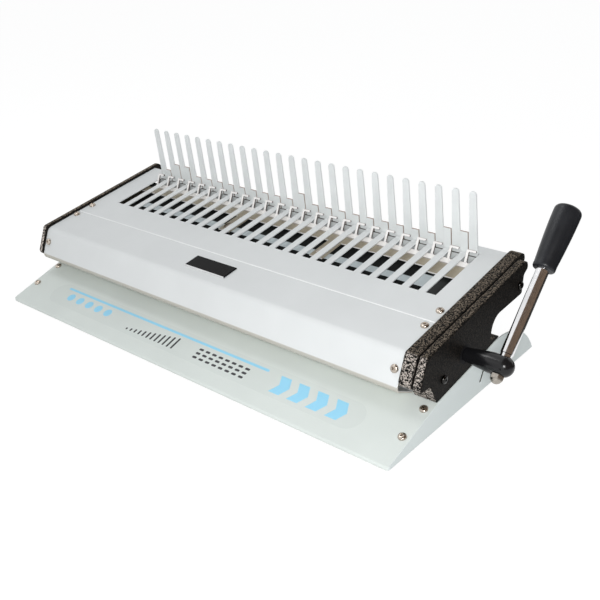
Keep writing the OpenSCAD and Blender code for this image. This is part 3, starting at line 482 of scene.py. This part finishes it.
def hook_plating(name):
    """Plated stamping, tan where it lies flat and pale, a painted highlight, where it is bent up into hooks and where
    it faces forward, with brown cut edges on the hooks, partly their bare colour and partly painted shade, and a thin
    brown band across the hooks
    """
    colours = settings().colours
    made, tree, surface = start_material(name, Specular_IOR_Level=0.4)
    if tree is None:
        return made
    place = object_place(tree)
    # Painted highlight: the bent-up hooks and the forward faces take the pale colour, the rest the tan plating
    bent = span(tree, body_distance(tree, place, BODY_BACK), -14.2 * MM, -12.6 * MM, 0.0, 1.0)
    front = span(tree, facing(tree, -BODY_BACK), 0.4, 0.7, 0.0, 1.0)
    # A thin brown band across the hooks, 6.1 to 6.6 mm above the cover
    brown_band = span(tree, body_distance(tree, place, BODY_UP), 6.1 * MM, 6.6 * MM, 0.0, 0.6)
    edges = math_node(tree, "MULTIPLY", bent, math_node(tree, "MAXIMUM", cut_edges(tree, HOOK_FACE), brown_band))
    cloud = noise(tree, place, 90.0)
    flat = drift(tree, cloud, colours.plating, 0.85, 1.1)
    pale = drift(tree, cloud, colours.hooks, 0.95, 1.04)
    body = blended(tree, math_node(tree, "MAXIMUM", bent, front), flat, pale)
    set_colour(tree, surface, blended(tree, edges, body, tuple(colours.cut_edge)))
    lines = noise(tree, place, 600.0, 3.0, 0.6)
    set_gloss(tree, surface, lines, 0.30, 0.46)
    bump(tree, surface, lines, 0.05, 0.1 * MM)
    return made


def moulded_plastic(name, colour, roughness=0.4, grain=0.06, gloss=0.35):
    """Moulded plastic with a fine grain"""
    made, tree, surface = start_material(name, IOR=1.5, Specular_IOR_Level=gloss)
    if tree is None:
        return made
    place = object_place(tree)
    tone = noise(tree, place, 45.0)
    set_colour(tree, surface, drift(tree, tone, colour, 0.85, 1.2))
    set_gloss(tree, surface, tone, roughness - 0.05, roughness + 0.06)
    bump(tree, surface, noise(tree, place, 1200.0, 2.0, 0.5), grain, 0.2 * MM)
    return made


def edged_badge(name):
    """Dark glossy plate whose front edge is bright metal"""
    made, tree, surface = start_material(name, Specular_IOR_Level=0.05)
    if tree is None:
        return made
    place = object_place(tree)
    front = span(tree, facing(tree, FORWARD), 0.4, 0.6, 0.0, 1.0)
    tone = noise(tree, place, 60.0)
    dark = ramp(tree, tone, (0.005, 0.005, 0.0055), (0.009, 0.009, 0.0095))
    set_colour(tree, surface, blended(tree, front, dark, (0.74, 0.75, 0.75)))
    tree.links.new(front, surface.inputs["Metallic"])
    set_gloss(tree, surface, tone, 0.24, 0.36)
    bump(tree, surface, noise(tree, place, 1100.0, 2.0, 0.5), 0.02, 0.2 * MM)
    return made


def finish(name):
    """The finish of one of the record's material slots"""
    colours = settings().colours
    makers = {
        "base_paint": lambda: sheet_paint(name, tuple(colours.base)),
        "cover_paint": lambda: sheet_paint(name, tuple(colours.cover)),
        "finger_plating": lambda: finger_plating(name, scaled(colours.fingers, 0.95)),
        # The guide bar's paint has painted shade on its forward faces
        "bar_paint": lambda: sheet_paint(name, tuple(colours.guide), 0.45, patches=[bar_front_painted_shade]),
        # Dark paint, which on the guide brackets is partly painted shade for the inside of the end slots
        "dark_paint": lambda: sheet_paint(name, (0.024, 0.026, 0.026), 0.55),
        "speckled_paint": lambda: speckled_paint(name),
        "plated_steel": lambda: plated_metal(name, tuple(colours.plating), 0.30, (0.15, 1.0, 1.0)),
        "tool_steel": lambda: plated_metal(name, (0.48, 0.48, 0.47), 0.34, (1.0, 0.1, 1.0)),
        "bright_screw": lambda: plated_metal(name, (0.52, 0.46, 0.40), 0.22, fine=1500.0),
        "chrome": lambda: plated_metal(name, (0.82, 0.82, 0.83), 0.10, (1.0, 1.0, 0.05), 400.0),
        "bush_nylon": lambda: moulded_plastic(name, (0.010, 0.010, 0.011), 0.55, gloss=0.05),
        "black_gloss": lambda: moulded_plastic(name, (0.008, 0.008, 0.009), 0.20, 0.03),
        "grip_plastic": lambda: moulded_plastic(name, tuple(colours.grip), 0.40),
        "badge_plastic": lambda: edged_badge(name),
        "foot_rubber": lambda: moulded_plastic(name, (0.02, 0.02, 0.02), 0.7, 0.12),
    }
    return makers[name]()


# Shapes


def node_slot(node):
    """The material slot that the record gives a node"""
    for entry in frame["record"]["subparts"]:
        if entry["node"] == node:
            return entry["material_slot"]
    raise RuntimeError(f"the record has no node {node}")


def node_body(node):
    """The moving body that holds a node"""
    for body, nodes in frame["record"]["behaviour"]["bodies"].items():
        if node in nodes:
            return body
    raise RuntimeError(f"no body holds {node}")


def place_piece(bm, name, body, slot, smooth_angle=35.0):
    """Turns a bmesh into a piece that rides on a body and takes a slot's finish"""
    mesh = bpy.data.meshes.new(name)
    for face in bm.faces:
        face.smooth = True
    bm.to_mesh(mesh)
    bm.free()
    if not mesh.polygons:
        raise RuntimeError(f"{name} came out empty")
    mesh.set_sharp_from_angle(angle=math.radians(smooth_angle))
    piece = bpy.data.objects.new(name, mesh)
    bpy.context.scene.collection.objects.link(piece)
    mesh.materials.append(finish(slot))
    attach(piece, body)
    return piece


def soft_edged(node, widths, steps=2, sharp=32.0, reshape=None):
    """A copy of a CAD node with its sharp edges rounded, which stands for that node

    widths gives an edge's rounding; reshape moves points of the copy before its edges are rounded.
    """
    bm = bmesh.new()
    bm.from_mesh(frame["nodes"][node].data)
    bmesh.ops.remove_doubles(bm, verts=bm.verts[:], dist=0.002 * MM)
    bmesh.ops.dissolve_limit(bm, angle_limit=math.radians(0.5), verts=bm.verts[:], edges=bm.edges[:])
    if reshape:
        reshape(bm)

    def sharp_edges():
        return [
            edge
            for edge in bm.edges
            if len(edge.link_faces) == 2 and edge.calc_face_angle(0.0) > math.radians(sharp)
        ]

    for width in sorted({widths(edge) for edge in sharp_edges()}, reverse=True):
        bmesh.ops.bevel(
            bm,
            geom=[edge for edge in sharp_edges() if widths(edge) == width],
            offset=width,
            offset_type="OFFSET",
            affect="EDGES",
            segments=steps,
            profile=0.5,
            material=-1,
            clamp_overlap=False,
        )
    piece = place_piece(bm, f"{node}_finished", node_body(node), node_slot(node))
    fair = piece.modifiers.new("flat faces", "WEIGHTED_NORMAL")
    fair.keep_sharp = True
    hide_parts(node)
    return piece


def turned(bm, profile, sides):
    """Spins a profile of (radius, height) pairs about Z into a closed solid"""
    corners = [bm.verts.new((radius, 0.0, height)) for radius, height in profile]
    edges = [bm.edges.new(pair) for pair in zip(corners, corners[1:])]
    bmesh.ops.spin(
        bm,
        geom=corners + edges,
        cent=(0.0, 0.0, 0.0),
        axis=(0.0, 0.0, 1.0),
        angle=2.0 * math.pi,
        steps=sides,
        use_merge=True,
    )
    bmesh.ops.remove_doubles(bm, verts=bm.verts[:], dist=0.001 * MM)
    bmesh.ops.recalc_face_normals(bm, faces=bm.faces[:])


def pan_head(bm):
    """A pan-head screw on the plane z = 0, with a sunk cross in its top"""
    sizes = settings().sizes
    radius = sizes.screw_head / 2
    rise = sizes.screw_rise
    # Shares of the radius and of the rise, from the shank's end to the flat top
    profile = (
        (0.0, -0.5),
        (0.5, -0.5),
        (0.5, 0.0),
        (0.97, 0.0),
        (1.0, 0.08),
        (1.0, 0.42),
        (0.93, 0.66),
        (0.78, 0.86),
        (0.5, 0.98),
    )
    turned(bm, [(out * radius, up * rise) for out, up in profile], 24)
    rim = [edge for edge in bm.edges if edge.is_boundary]
    bmesh.ops.edgenet_fill(bm, edges=rim)
    wide, reach, level = 0.13 * radius, 0.42 * radius, 0.97 * rise
    for axis in (Vector((1.0, 0.0, 0.0)), Vector((0.0, 1.0, 0.0))):
        for offset in (-reach, -wide, wide, reach):
            top = [face for face in bm.faces if face.calc_center_median().z > level]
            around = list({edge for face in top for edge in face.edges})
            corners = list({vert for face in top for vert in face.verts})
            bmesh.ops.bisect_plane(bm, geom=top + around + corners, dist=1e-7, plane_co=axis * offset, plane_no=axis)
    cross = []
    for face in bm.faces:
        middle = face.calc_center_median()
        if middle.z < level or max(abs(middle.x), abs(middle.y)) > reach:
            continue
        if min(abs(middle.x), abs(middle.y)) < wide:
            cross.append(face)
    sunk = bmesh.ops.extrude_face_region(bm, geom=cross)
    bottom = [item for item in sunk["geom"] if isinstance(item, bmesh.types.BMVert)]
    bmesh.ops.delete(bm, geom=cross, context="FACES")
    bmesh.ops.translate(bm, verts=bottom, vec=(0.0, 0.0, -0.55 * rise))
    bmesh.ops.scale(bm, verts=bottom, vec=(0.72, 0.72, 1.0))
    bmesh.ops.recalc_face_normals(bm, faces=bm.faces[:])


def screw_set(node, places):
    """All screws of one node as one piece; a place is a matrix and a turn of the cross in degrees"""
    bm = bmesh.new()
    for place, turn in places:
        one = bmesh.new()
        pan_head(one)
        spun = place @ Matrix.Rotation(math.radians(turn), 4, "Z")
        bmesh.ops.transform(one, matrix=spun, verts=one.verts[:])
        mesh = bpy.data.meshes.new("one_screw")
        one.to_mesh(mesh)
        one.free()
        bm.from_mesh(mesh)
        bpy.data.meshes.remove(mesh)
    piece = place_piece(bm, f"{node}_heads", node_body(node), node_slot(node), 40.0)
    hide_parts(node)
    return piece


def body_place(x, u, w, turn=None):
    """A place in the body's axes, in millimetres"""
    place = BODY_FRAME @ Matrix.Translation(Vector((x, u, w)) * MM)
    return place @ turn if turn else place


# Operators


class BINDER_OT_covers(bpy.types.Operator):
    """Rounds the edges of the base, the covers, the guide bar and the badge plate"""

    bl_idname = "binder.covers"
    bl_label = "Base and covers"

    def execute(self, context):
        width = settings().sizes.sheet_edge
        colours = settings().colours

        def seam_width(edge):
            """Wider along the front edge, which meets the front cover"""
            spots = [INTO_BODY @ corner.co for corner in edge.verts]
            at_seam = all(spot.y < SEAM_EDGES and spot.z > -0.5 * MM for spot in spots)
            return 3.0 * width if at_seam else width

        def lower_chin(bm):
            """Lengthens the slanting face, so that the chin hangs below the frame plates"""
            low, high = CHIN_BAND
            chin = [vert for vert in bm.verts if low < (INTO_BODY @ vert.co).z < high]
            along_face = Vector((0.0, -math.sin(FACE_SLANT), -math.cos(FACE_SLANT)))
            bmesh.ops.translate(bm, verts=chin, vec=BODY_FRAME.to_3x3() @ along_face * CHIN_DROP)

        top = soft_edged("top_cover", seam_width)
        # The top cover's paint has a painted highlight along its front edge
        top.data.materials[0] = sheet_paint("top_paint", tuple(colours.cover), patches=[seam_painted_highlight])
        front = soft_edged("front_cover", lambda edge: width, reshape=lower_chin)
        # The front cover's paint has painted shade under its chin
        front.data.materials[0] = sheet_paint("front_paint", tuple(colours.cover), patches=[chin_painted_shade])
        base = soft_edged("base_cover", lambda edge: width)
        # The base's paint has painted shade on its right wall and round the slot in that wall
        base.data.materials[0] = sheet_paint("walled_paint", tuple(colours.base), patches=[wall_painted_shade, slot_painted_shade])
        soft_edged("guide_bar", lambda edge: width)
        soft_edged("badge_plate", lambda edge: 0.6 * width)
        return {"FINISHED"}


class BINDER_OT_plates(bpy.types.Operator):
    """Rounds the speckled frame plates"""

    bl_idname = "binder.plates"
    bl_label = "Frame plates"

    def execute(self, context):
        sizes = settings().sizes

        def rim_width(edge):
            """Wide along the rims above the covers and round the nose, narrow elsewhere"""
            spots = [INTO_BODY @ corner.co / MM for corner in edge.verts]
            on_rim = all(spot.z > 0.5 or spot.y < -121.0 for spot in spots)
            clear_of_throat = all(spot.z > -22.0 for spot in spots)
            return sizes.plate_edge if on_rim and clear_of_throat else sizes.sheet_edge

        for node in ("right_inner_cheek", "right_frame_plate"):
            soft_edged(node, rim_width, 4, 40.0)
        left = soft_edged("left_frame_plate", lambda edge: 0.4 * rim_width(edge), 4, 40.0)
        # The left plate's copy has specks 1.7 times lighter: painted highlight
        left.data.materials[0] = speckled_paint("left_speckle", 1.7)
        return {"FINISHED"}


class BINDER_OT_comb_row(bpy.types.Operator):
    """Finishes the fingers, their strip and the hooks"""

    bl_idname = "binder.comb_row"
    bl_label = "Fingers and hooks"

    def execute(self, context):
        width = settings().sizes.stamped_edge

        def longer_left(bm):
            """Carries the strip on behind the first hook"""
            low = min(vert.co.x for vert in bm.verts)
            end = [vert for vert in bm.verts if vert.co.x < low + 0.5 * MM]
            bmesh.ops.translate(bm, verts=end, vec=(-STRIP_EXTRA, 0.0, 0.0))

        soft_edged("comb_fingers", lambda edge: width)
        strip = soft_edged("finger_strip", lambda edge: width, reshape=longer_left)
        strip.data.materials[0] = finger_plating("strip_plating", scaled(settings().colours.cut_edge, 3.0))
        hooks = soft_edged("hook_plate", lambda edge: width)
        hooks.data.materials[0] = hook_plating("hook_plating")
        return {"FINISHED"}


class BINDER_OT_screws(bpy.types.Operator):
    """Makes the cross-head screws of the covers, base and plates"""

    bl_idname = "binder.screws"
    bl_label = "Screws"

    def execute(self, context):
        on_face = Matrix.Rotation(math.radians(90.0) - FACE_SLANT, 4, "X")
        face_u, face_w = FACE_SCREW
        face_u += face_w * math.tan(FACE_SLANT)
        back_u, seam_u = COVER_SCREW_U
        covers = []
        for index, x in enumerate(COVER_SCREW_X):
            covers.append((body_place(x, back_u, 0.0), 20.0 + 35.0 * index))
            covers.append((body_place(x, seam_u, 0.0), 65.0 - 20.0 * index))
            covers.append((body_place(x, face_u, face_w, on_face), 10.0 + 50.0 * index))
        screw_set("cover_screws", covers)

        base = []
        for index, (x, along) in enumerate(TABLE_SCREWS):
            base.append((TABLE_FRAME @ Matrix.Translation(Vector((x, along, 0.0)) * MM), 25.0 * index))
        screw_set("base_screws", base)

        to_left = Matrix.Rotation(math.radians(-90.0), 4, "Y")
        to_right = Matrix.Rotation(math.radians(90.0), 4, "Y")
        low = (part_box("left_frame_plate")[0][0] - ROW_X) / MM
        high = (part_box("right_frame_plate")[1][0] - ROW_X) / MM
        plates = []
        for index, (u, w) in enumerate(PLATE_SCREWS):
            plates.append((body_place(low, u, w, to_left), 15.0 + 40.0 * index))
            plates.append((body_place(high, u, w, to_right), 70.0 - 30.0 * index))
        dark = screw_set("plate_screws", plates)
        dark.data.materials[0] = plated_metal("dark_screw", (0.035, 0.034, 0.033), 0.18, fine=1500.0)
        return {"FINISHED"}


class BINDER_OT_lever(bpy.types.Operator):
    """Turns the grip and the rod, and rounds the hub and the nut"""

    bl_idname = "binder.lever"
    bl_label = "Lever"

    def along_lever(self, profile):
        """A turned solid along the lever at rest; the profile is (radius, distance from the hub) in millimetres"""
        joint = next(entry for entry in frame["joints"] if entry["name"] == "lever_turn")
        centre = Vector(joint["pos_m"])
        centre.x = sum(corner[0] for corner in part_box("lever_grip")) / 2
        bm = bmesh.new()
        turned(bm, [(radius * MM, height * MM) for radius, height in profile], settings().sizes.grip_sides)
        rest = Matrix.Translation(centre) @ Matrix.Rotation(LEVER_LEAN, 4, "X")
        bmesh.ops.transform(bm, matrix=rest, verts=bm.verts[:])
        return bm

    def grip_profile(self):
        """A rounded mouth, a long swell and a domed end"""
        mouth_r, mouth, waist = GRIP_MOUTH
        swell, swell_len = GRIP_SWELL
        dome_r, dome_len = GRIP_DOME
        profile = [(0.0, mouth), (6.0, mouth), (7.1, 70.25), (7.6, 71.0), (7.75, 72.2), (mouth_r, waist)]
        for step in range(1, 13):
            part = step / 12
            profile.append((mouth_r + swell * math.sin(math.radians(90.0 * part)), waist + swell_len * part))
        widest, top = mouth_r + swell, waist + swell_len
        for step in range(1, 9):
            turn = math.radians(90.0 * step / 8)
            profile.append((widest - dome_r + dome_r * math.cos(turn), top + dome_len * math.sin(turn)))
        return profile + [(4.6, 117.1), (2.4, 117.7), (0.0, 117.9)]

    def rod_profile(self):
        """Turned down through the hub, thickest in sight, and sunk into the grip"""
        end_r, end = ROD_END
        shown_r, shown_from, shown_to = ROD_SHOWN
        profile = [(0.0, end), (2.6, end), (end_r, -10.6), (end_r, 0.0), (ROD_SEAT, 0.0)]
        profile += [(ROD_SEAT, shown_from), (shown_r, 8.6), (shown_r, shown_to), (ROD_SEAT, 69.9)]
        return profile + [(ROD_SEAT, 89.6), (3.4, ROD_TOP), (0.0, ROD_TOP)]

    def execute(self, context):
        grip = self.along_lever(self.grip_profile())
        piece = place_piece(grip, "lever_grip_turned", "lever", "grip_plastic", 50.0)
        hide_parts("lever_grip")
        rod = self.along_lever(self.rod_profile())
        piece = place_piece(rod, "lever_rod_turned", "lever", "chrome", 30.0)
        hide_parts("lever_rod")
        width = 0.3 * MM
        soft_edged("main_shaft", lambda edge: width)
        nut = soft_edged("lever_nut", lambda edge: width)
        nut.data.materials[0] = plated_metal("nut_plating", (0.40, 0.37, 0.33), 0.26, fine=1500.0)
        return {"FINISHED"}


class BINDER_OT_print(bpy.types.Operator):
    """Lays the printed panel, stripe, dots, chevrons and dark marks on the sloping table"""

    bl_idname = "binder.table_print"
    bl_label = "Table print"

    def film(self, name, outlines, level, colour):
        """Thin printed shapes on the table; an outline is a list of (across, up the slope) points in millimetres"""
        rise = settings().sizes.print_rise
        bm = bmesh.new()
        for outline in outlines:
            corners = [bm.verts.new((x * MM, along * MM, level * rise)) for x, along in outline]
            face = bm.faces.new(corners)
            if face.normal.z < 0.0:
                face.normal_flip()
            lifted = bmesh.ops.extrude_face_region(bm, geom=[face])
            top = [item for item in lifted["geom"] if isinstance(item, bmesh.types.BMVert)]
            bmesh.ops.translate(bm, verts=top, vec=(0.0, 0.0, rise))
        bmesh.ops.recalc_face_normals(bm, faces=bm.faces[:])
        bmesh.ops.transform(bm, matrix=TABLE_FRAME, verts=bm.verts[:])
        piece = place_piece(bm, name, "frame", "base_paint")
        piece.data.materials[0] = sheet_paint(name, colour, 0.40, 0.03)

    def rounded_box(self, left, low, right, high, radius, steps):
        """A box with round corners"""
        points = []
        for cx, cy, start in (
            (right - radius, low + radius, -90.0),
            (right - radius, high - radius, 0.0),
            (left + radius, high - radius, 90.0),
            (left + radius, low + radius, 180.0),
        ):
            for step in range(steps + 1):
                turn = math.radians(start + 90.0 * step / steps)
                points.append((cx + radius * math.cos(turn), cy + radius * math.sin(turn)))
        return points

    def chevron(self, left, low, width, high):
        """An arrow-shaped outline that points to the right"""
        tip = high / 2
        return [
            (left, low),
            (left + width, low),
            (left + width + 0.5 * tip, low + tip),
            (left + width, low + high),
            (left, low + high),
            (left + 0.5 * tip, low + tip),
        ]

    def blue_marks(self):
        """A stripe along the panel, five dots at its left and four chevrons at its right"""
        stripe = self.rounded_box(-158.0, 31.0, 86.0, 33.2, 1.0, 4)
        dots = [self.rounded_box(-150.0 + 13.0 * k, 20.0, -142.0 + 13.0 * k, 28.0, 3.9, 6) for k in range(5)]
        return [stripe] + dots + [self.chevron(98.0 + 17.0 * k, 16.5, 9.5, 16.0) for k in range(4)]

    def dark_marks(self):
        """Twelve bars that rise to the right, and three rows of eight dashes"""
        marks = []
        for k in range(12):
            left = -62.0 + 5.0 * k
            marks.append(self.rounded_box(left, 16.5, left + 1.8, 18.6 + 0.9 * k, 0.8, 3))
        for row in range(3):
            low = 17.0 + 4.2 * row
            for k in range(8):
                left = 18.0 + 7.0 * k
                marks.append(self.rounded_box(left, low, left + 4.5, low + 2.0, 0.9, 3))
        return marks

    def execute(self, context):
        colours = settings().colours
        panel = self.rounded_box(-172.0, 12.5, 176.0, 36.5, 11.9, 12)
        self.film("table_print_panel", [panel], 0.0, tuple(colours.print_grey))
        self.film("table_print_blue", self.blue_marks(), 1.0, tuple(colours.print_blue))
        self.film("table_print_marks", self.dark_marks(), 1.0, tuple(colours.print_dark))
        return {"FINISHED"}


class BINDER_OT_inner_works(bpy.types.Operator):
    """Gives the pieces that stay as built their finishes"""

    bl_idname = "binder.inner_works"
    bl_label = "Inner works"

    def execute(self, context):
        for node, part in frame["nodes"].items():
            made = finish(node_slot(node))
            if not part.material_slots:
                part.data.materials.append(made)
            for slot in part.material_slots:
                slot.material = made
        return {"FINISHED"}


class BINDER_OT_stage(bpy.types.Operator):
    """Sets the pale floor, the cards, the soft lamps, the white surroundings and the camera"""

    bl_idname = "binder.stage"
    bl_label = "Stage"

    def execute(self, context):
        scene = context.scene
        scene.view_settings.view_transform = "Standard"
        floor = bmesh.new()
        bmesh.ops.create_grid(floor, x_segments=1, y_segments=1, size=4.0)
        ground = self.stand(floor, "floor", self.floor_finish())
        self.cards()
        self.surroundings(scene)
        self.lamp("key lamp", (0.57, -0.63, 0.46), 0.20, 4.6)
        self.lamp("fill lamp", (-0.75, -0.95, 1.0), 0.6, 0.5)
        self.lamp("top lamp", (-0.63, -0.11, 1.27), 0.40, 2.4)
        scene.camera = self.camera()
        return {"FINISHED"}

    def stand(self, bm, name, made):
        """Turns a bmesh into a thing of the stage"""
        mesh = bpy.data.meshes.new(name)
        bm.to_mesh(mesh)
        bm.free()
        thing = bpy.data.objects.new(name, mesh)
        bpy.context.scene.collection.objects.link(thing)
        mesh.materials.append(made)
        return thing

    def camera(self):
        """The camera, fitted to the machine's corners"""
        view = bpy.data.cameras.new("camera")
        view.sensor_fit = "HORIZONTAL"
        view.sensor_width = 36.0
        view.lens = 50.21
        view.clip_end = 20.0
        camera = bpy.data.objects.new("camera", view)
        bpy.context.scene.collection.objects.link(camera)
        right = Vector((0.7545869, 0.6534802, -0.0596841))
        up = Vector((-0.2520733, 0.3726419, 0.8930829))
        back = Vector((0.6058528, -0.6588639, 0.4459156))
        turn = Matrix((right, up, back)).transposed()
        camera.matrix_world = Matrix.Translation((0.43525, -0.42731, 0.32776)) @ turn.to_4x4()
        return camera

    def cards(self):
        """A brown card round the right side and a dark one behind, which only bright metal mirrors"""
        near, far, left, right, low, high = -1.6, 1.4, -0.08, 1.3, 0.002, 1.6
        start_x, start_y = 0.215, 0.11
        side = [(right, near, 0.0), (right, far, 0.0), (right, far, high), (right, near, high)]
        roof = [(left, near, high), (right, near, high), (right, far, high), (left, far, high)]
        behind = [(start_x, start_y, low), (right, start_y, low), (right, far, low), (start_x, far, low)]
        for name, colour, outlines in (
            ("brown card", (0.33, 0.225, 0.155, 1.0), [side, roof]),
            ("dark card", (0.03, 0.025, 0.02, 1.0), [behind]),
        ):
            bm = bmesh.new()
            for outline in outlines:
                bm.faces.new([bm.verts.new(corner) for corner in outline])
            made, tree, surface = start_material(name, Roughness=0.9)
            if tree is not None:
                surface.inputs["Base Color"].default_value = colour
            card = self.stand(bm, name, made)
            card.visible_camera = False
            card.visible_diffuse = False
            card.visible_shadow = False

    def lamp(self, name, spot, size, power):
        """A square soft lamp that points at the middle of the machine"""
        light = bpy.data.lights.new(name, "AREA")
        light.size = size
        light.energy = power
        lamp = bpy.data.objects.new(name, light)
        aim = Vector((0.0, 0.0, 0.05)) - Vector(spot)
        lamp.matrix_world = Matrix.Translation(spot) @ aim.to_track_quat("-Z", "Y").to_matrix().to_4x4()
        bpy.context.scene.collection.objects.link(lamp)

    def seen_white(self, tree):
        """One for camera, glossy and transmission rays, nought for the light that falls on the machine"""
        rays = add_node(tree, "ShaderNodeLightPath").outputs
        seen = math_node(tree, "MAXIMUM", rays["Is Camera Ray"], rays["Is Glossy Ray"])
        return math_node(tree, "MAXIMUM", seen, rays["Is Transmission Ray"])

    def mixed_output(self, tree, kind, share, first, second):
        """Ends a tree with an output that mixes two shaders"""
        both = add_node(tree, "ShaderNodeMixShader")
        tree.links.new(share, both.inputs["Fac"])
        tree.links.new(first, both.inputs[1])
        tree.links.new(second, both.inputs[2])
        tree.links.new(both.outputs["Shader"], add_node(tree, kind).inputs["Surface"])

    def surroundings(self, scene):
        """A soft light all round that shows as white"""
        world = bpy.data.worlds.new("white surroundings")
        world.use_nodes = True
        tree = world.node_tree
        tree.nodes.clear()
        light = add_node(tree, "ShaderNodeBackground", Color=(0.96, 0.98, 1.0, 1.0), Strength=0.40)
        white = add_node(tree, "ShaderNodeBackground", Color=(1.0, 1.0, 1.0, 1.0), Strength=1.0)
        ends = light.outputs["Background"], white.outputs["Background"]
        self.mixed_output(tree, "ShaderNodeOutputWorld", self.seen_white(tree), *ends)
        scene.world = world

    def floor_finish(self):
        """Pale floor that shows near white to the camera and keeps a soft shadow"""
        made = bpy.data.materials.new("pale floor")
        made.use_nodes = True
        tree = made.node_tree
        tree.nodes.clear()
        matt = add_node(tree, "ShaderNodeBsdfDiffuse", Color=(0.86, 0.86, 0.86, 1.0))
        glow = add_node(tree, "ShaderNodeEmission", Strength=1.12)
        share = math_node(tree, "MULTIPLY", self.seen_white(tree), 0.82)
        ends = matt.outputs["BSDF"], glow.outputs["Emission"]
        self.mixed_output(tree, "ShaderNodeOutputMaterial", share, *ends)
        return made


class BINDER_PT_panel(bpy.types.Panel):
    """Lists the steps that finish the machine"""

    bl_label = "Comb Binder"
    bl_idname = "BINDER_PT_panel"
    bl_space_type = "VIEW_3D"
    bl_region_type = "UI"
    bl_category = "Comb Binder"

    def draw(self, context):
        for step in STEPS:
            self.layout.operator(step.bl_idname)


STEPS = (
    BINDER_OT_inner_works,
    BINDER_OT_covers,
    BINDER_OT_plates,
    BINDER_OT_comb_row,
    BINDER_OT_screws,
    BINDER_OT_lever,
    BINDER_OT_print,
    BINDER_OT_stage,
)
CLASSES = (BinderColours, BinderSizes, BinderSettings, *STEPS, BINDER_PT_panel)


def register():
    for entry in CLASSES:
        bpy.utils.register_class(entry)
    bpy.types.Scene.comb_binder = PointerProperty(type=BinderSettings)


def unregister():
    del bpy.types.Scene.comb_binder
    for entry in reversed(CLASSES):
        bpy.utils.unregister_class(entry)


def main():
    register()
    bpy.ops.binder.inner_works()
    bpy.ops.binder.covers()
    bpy.ops.binder.plates()
    bpy.ops.binder.comb_row()
    bpy.ops.binder.screws()
    bpy.ops.binder.lever()
    bpy.ops.binder.table_print()
    bpy.ops.binder.stage()


if __name__ == "__main__":
    main()
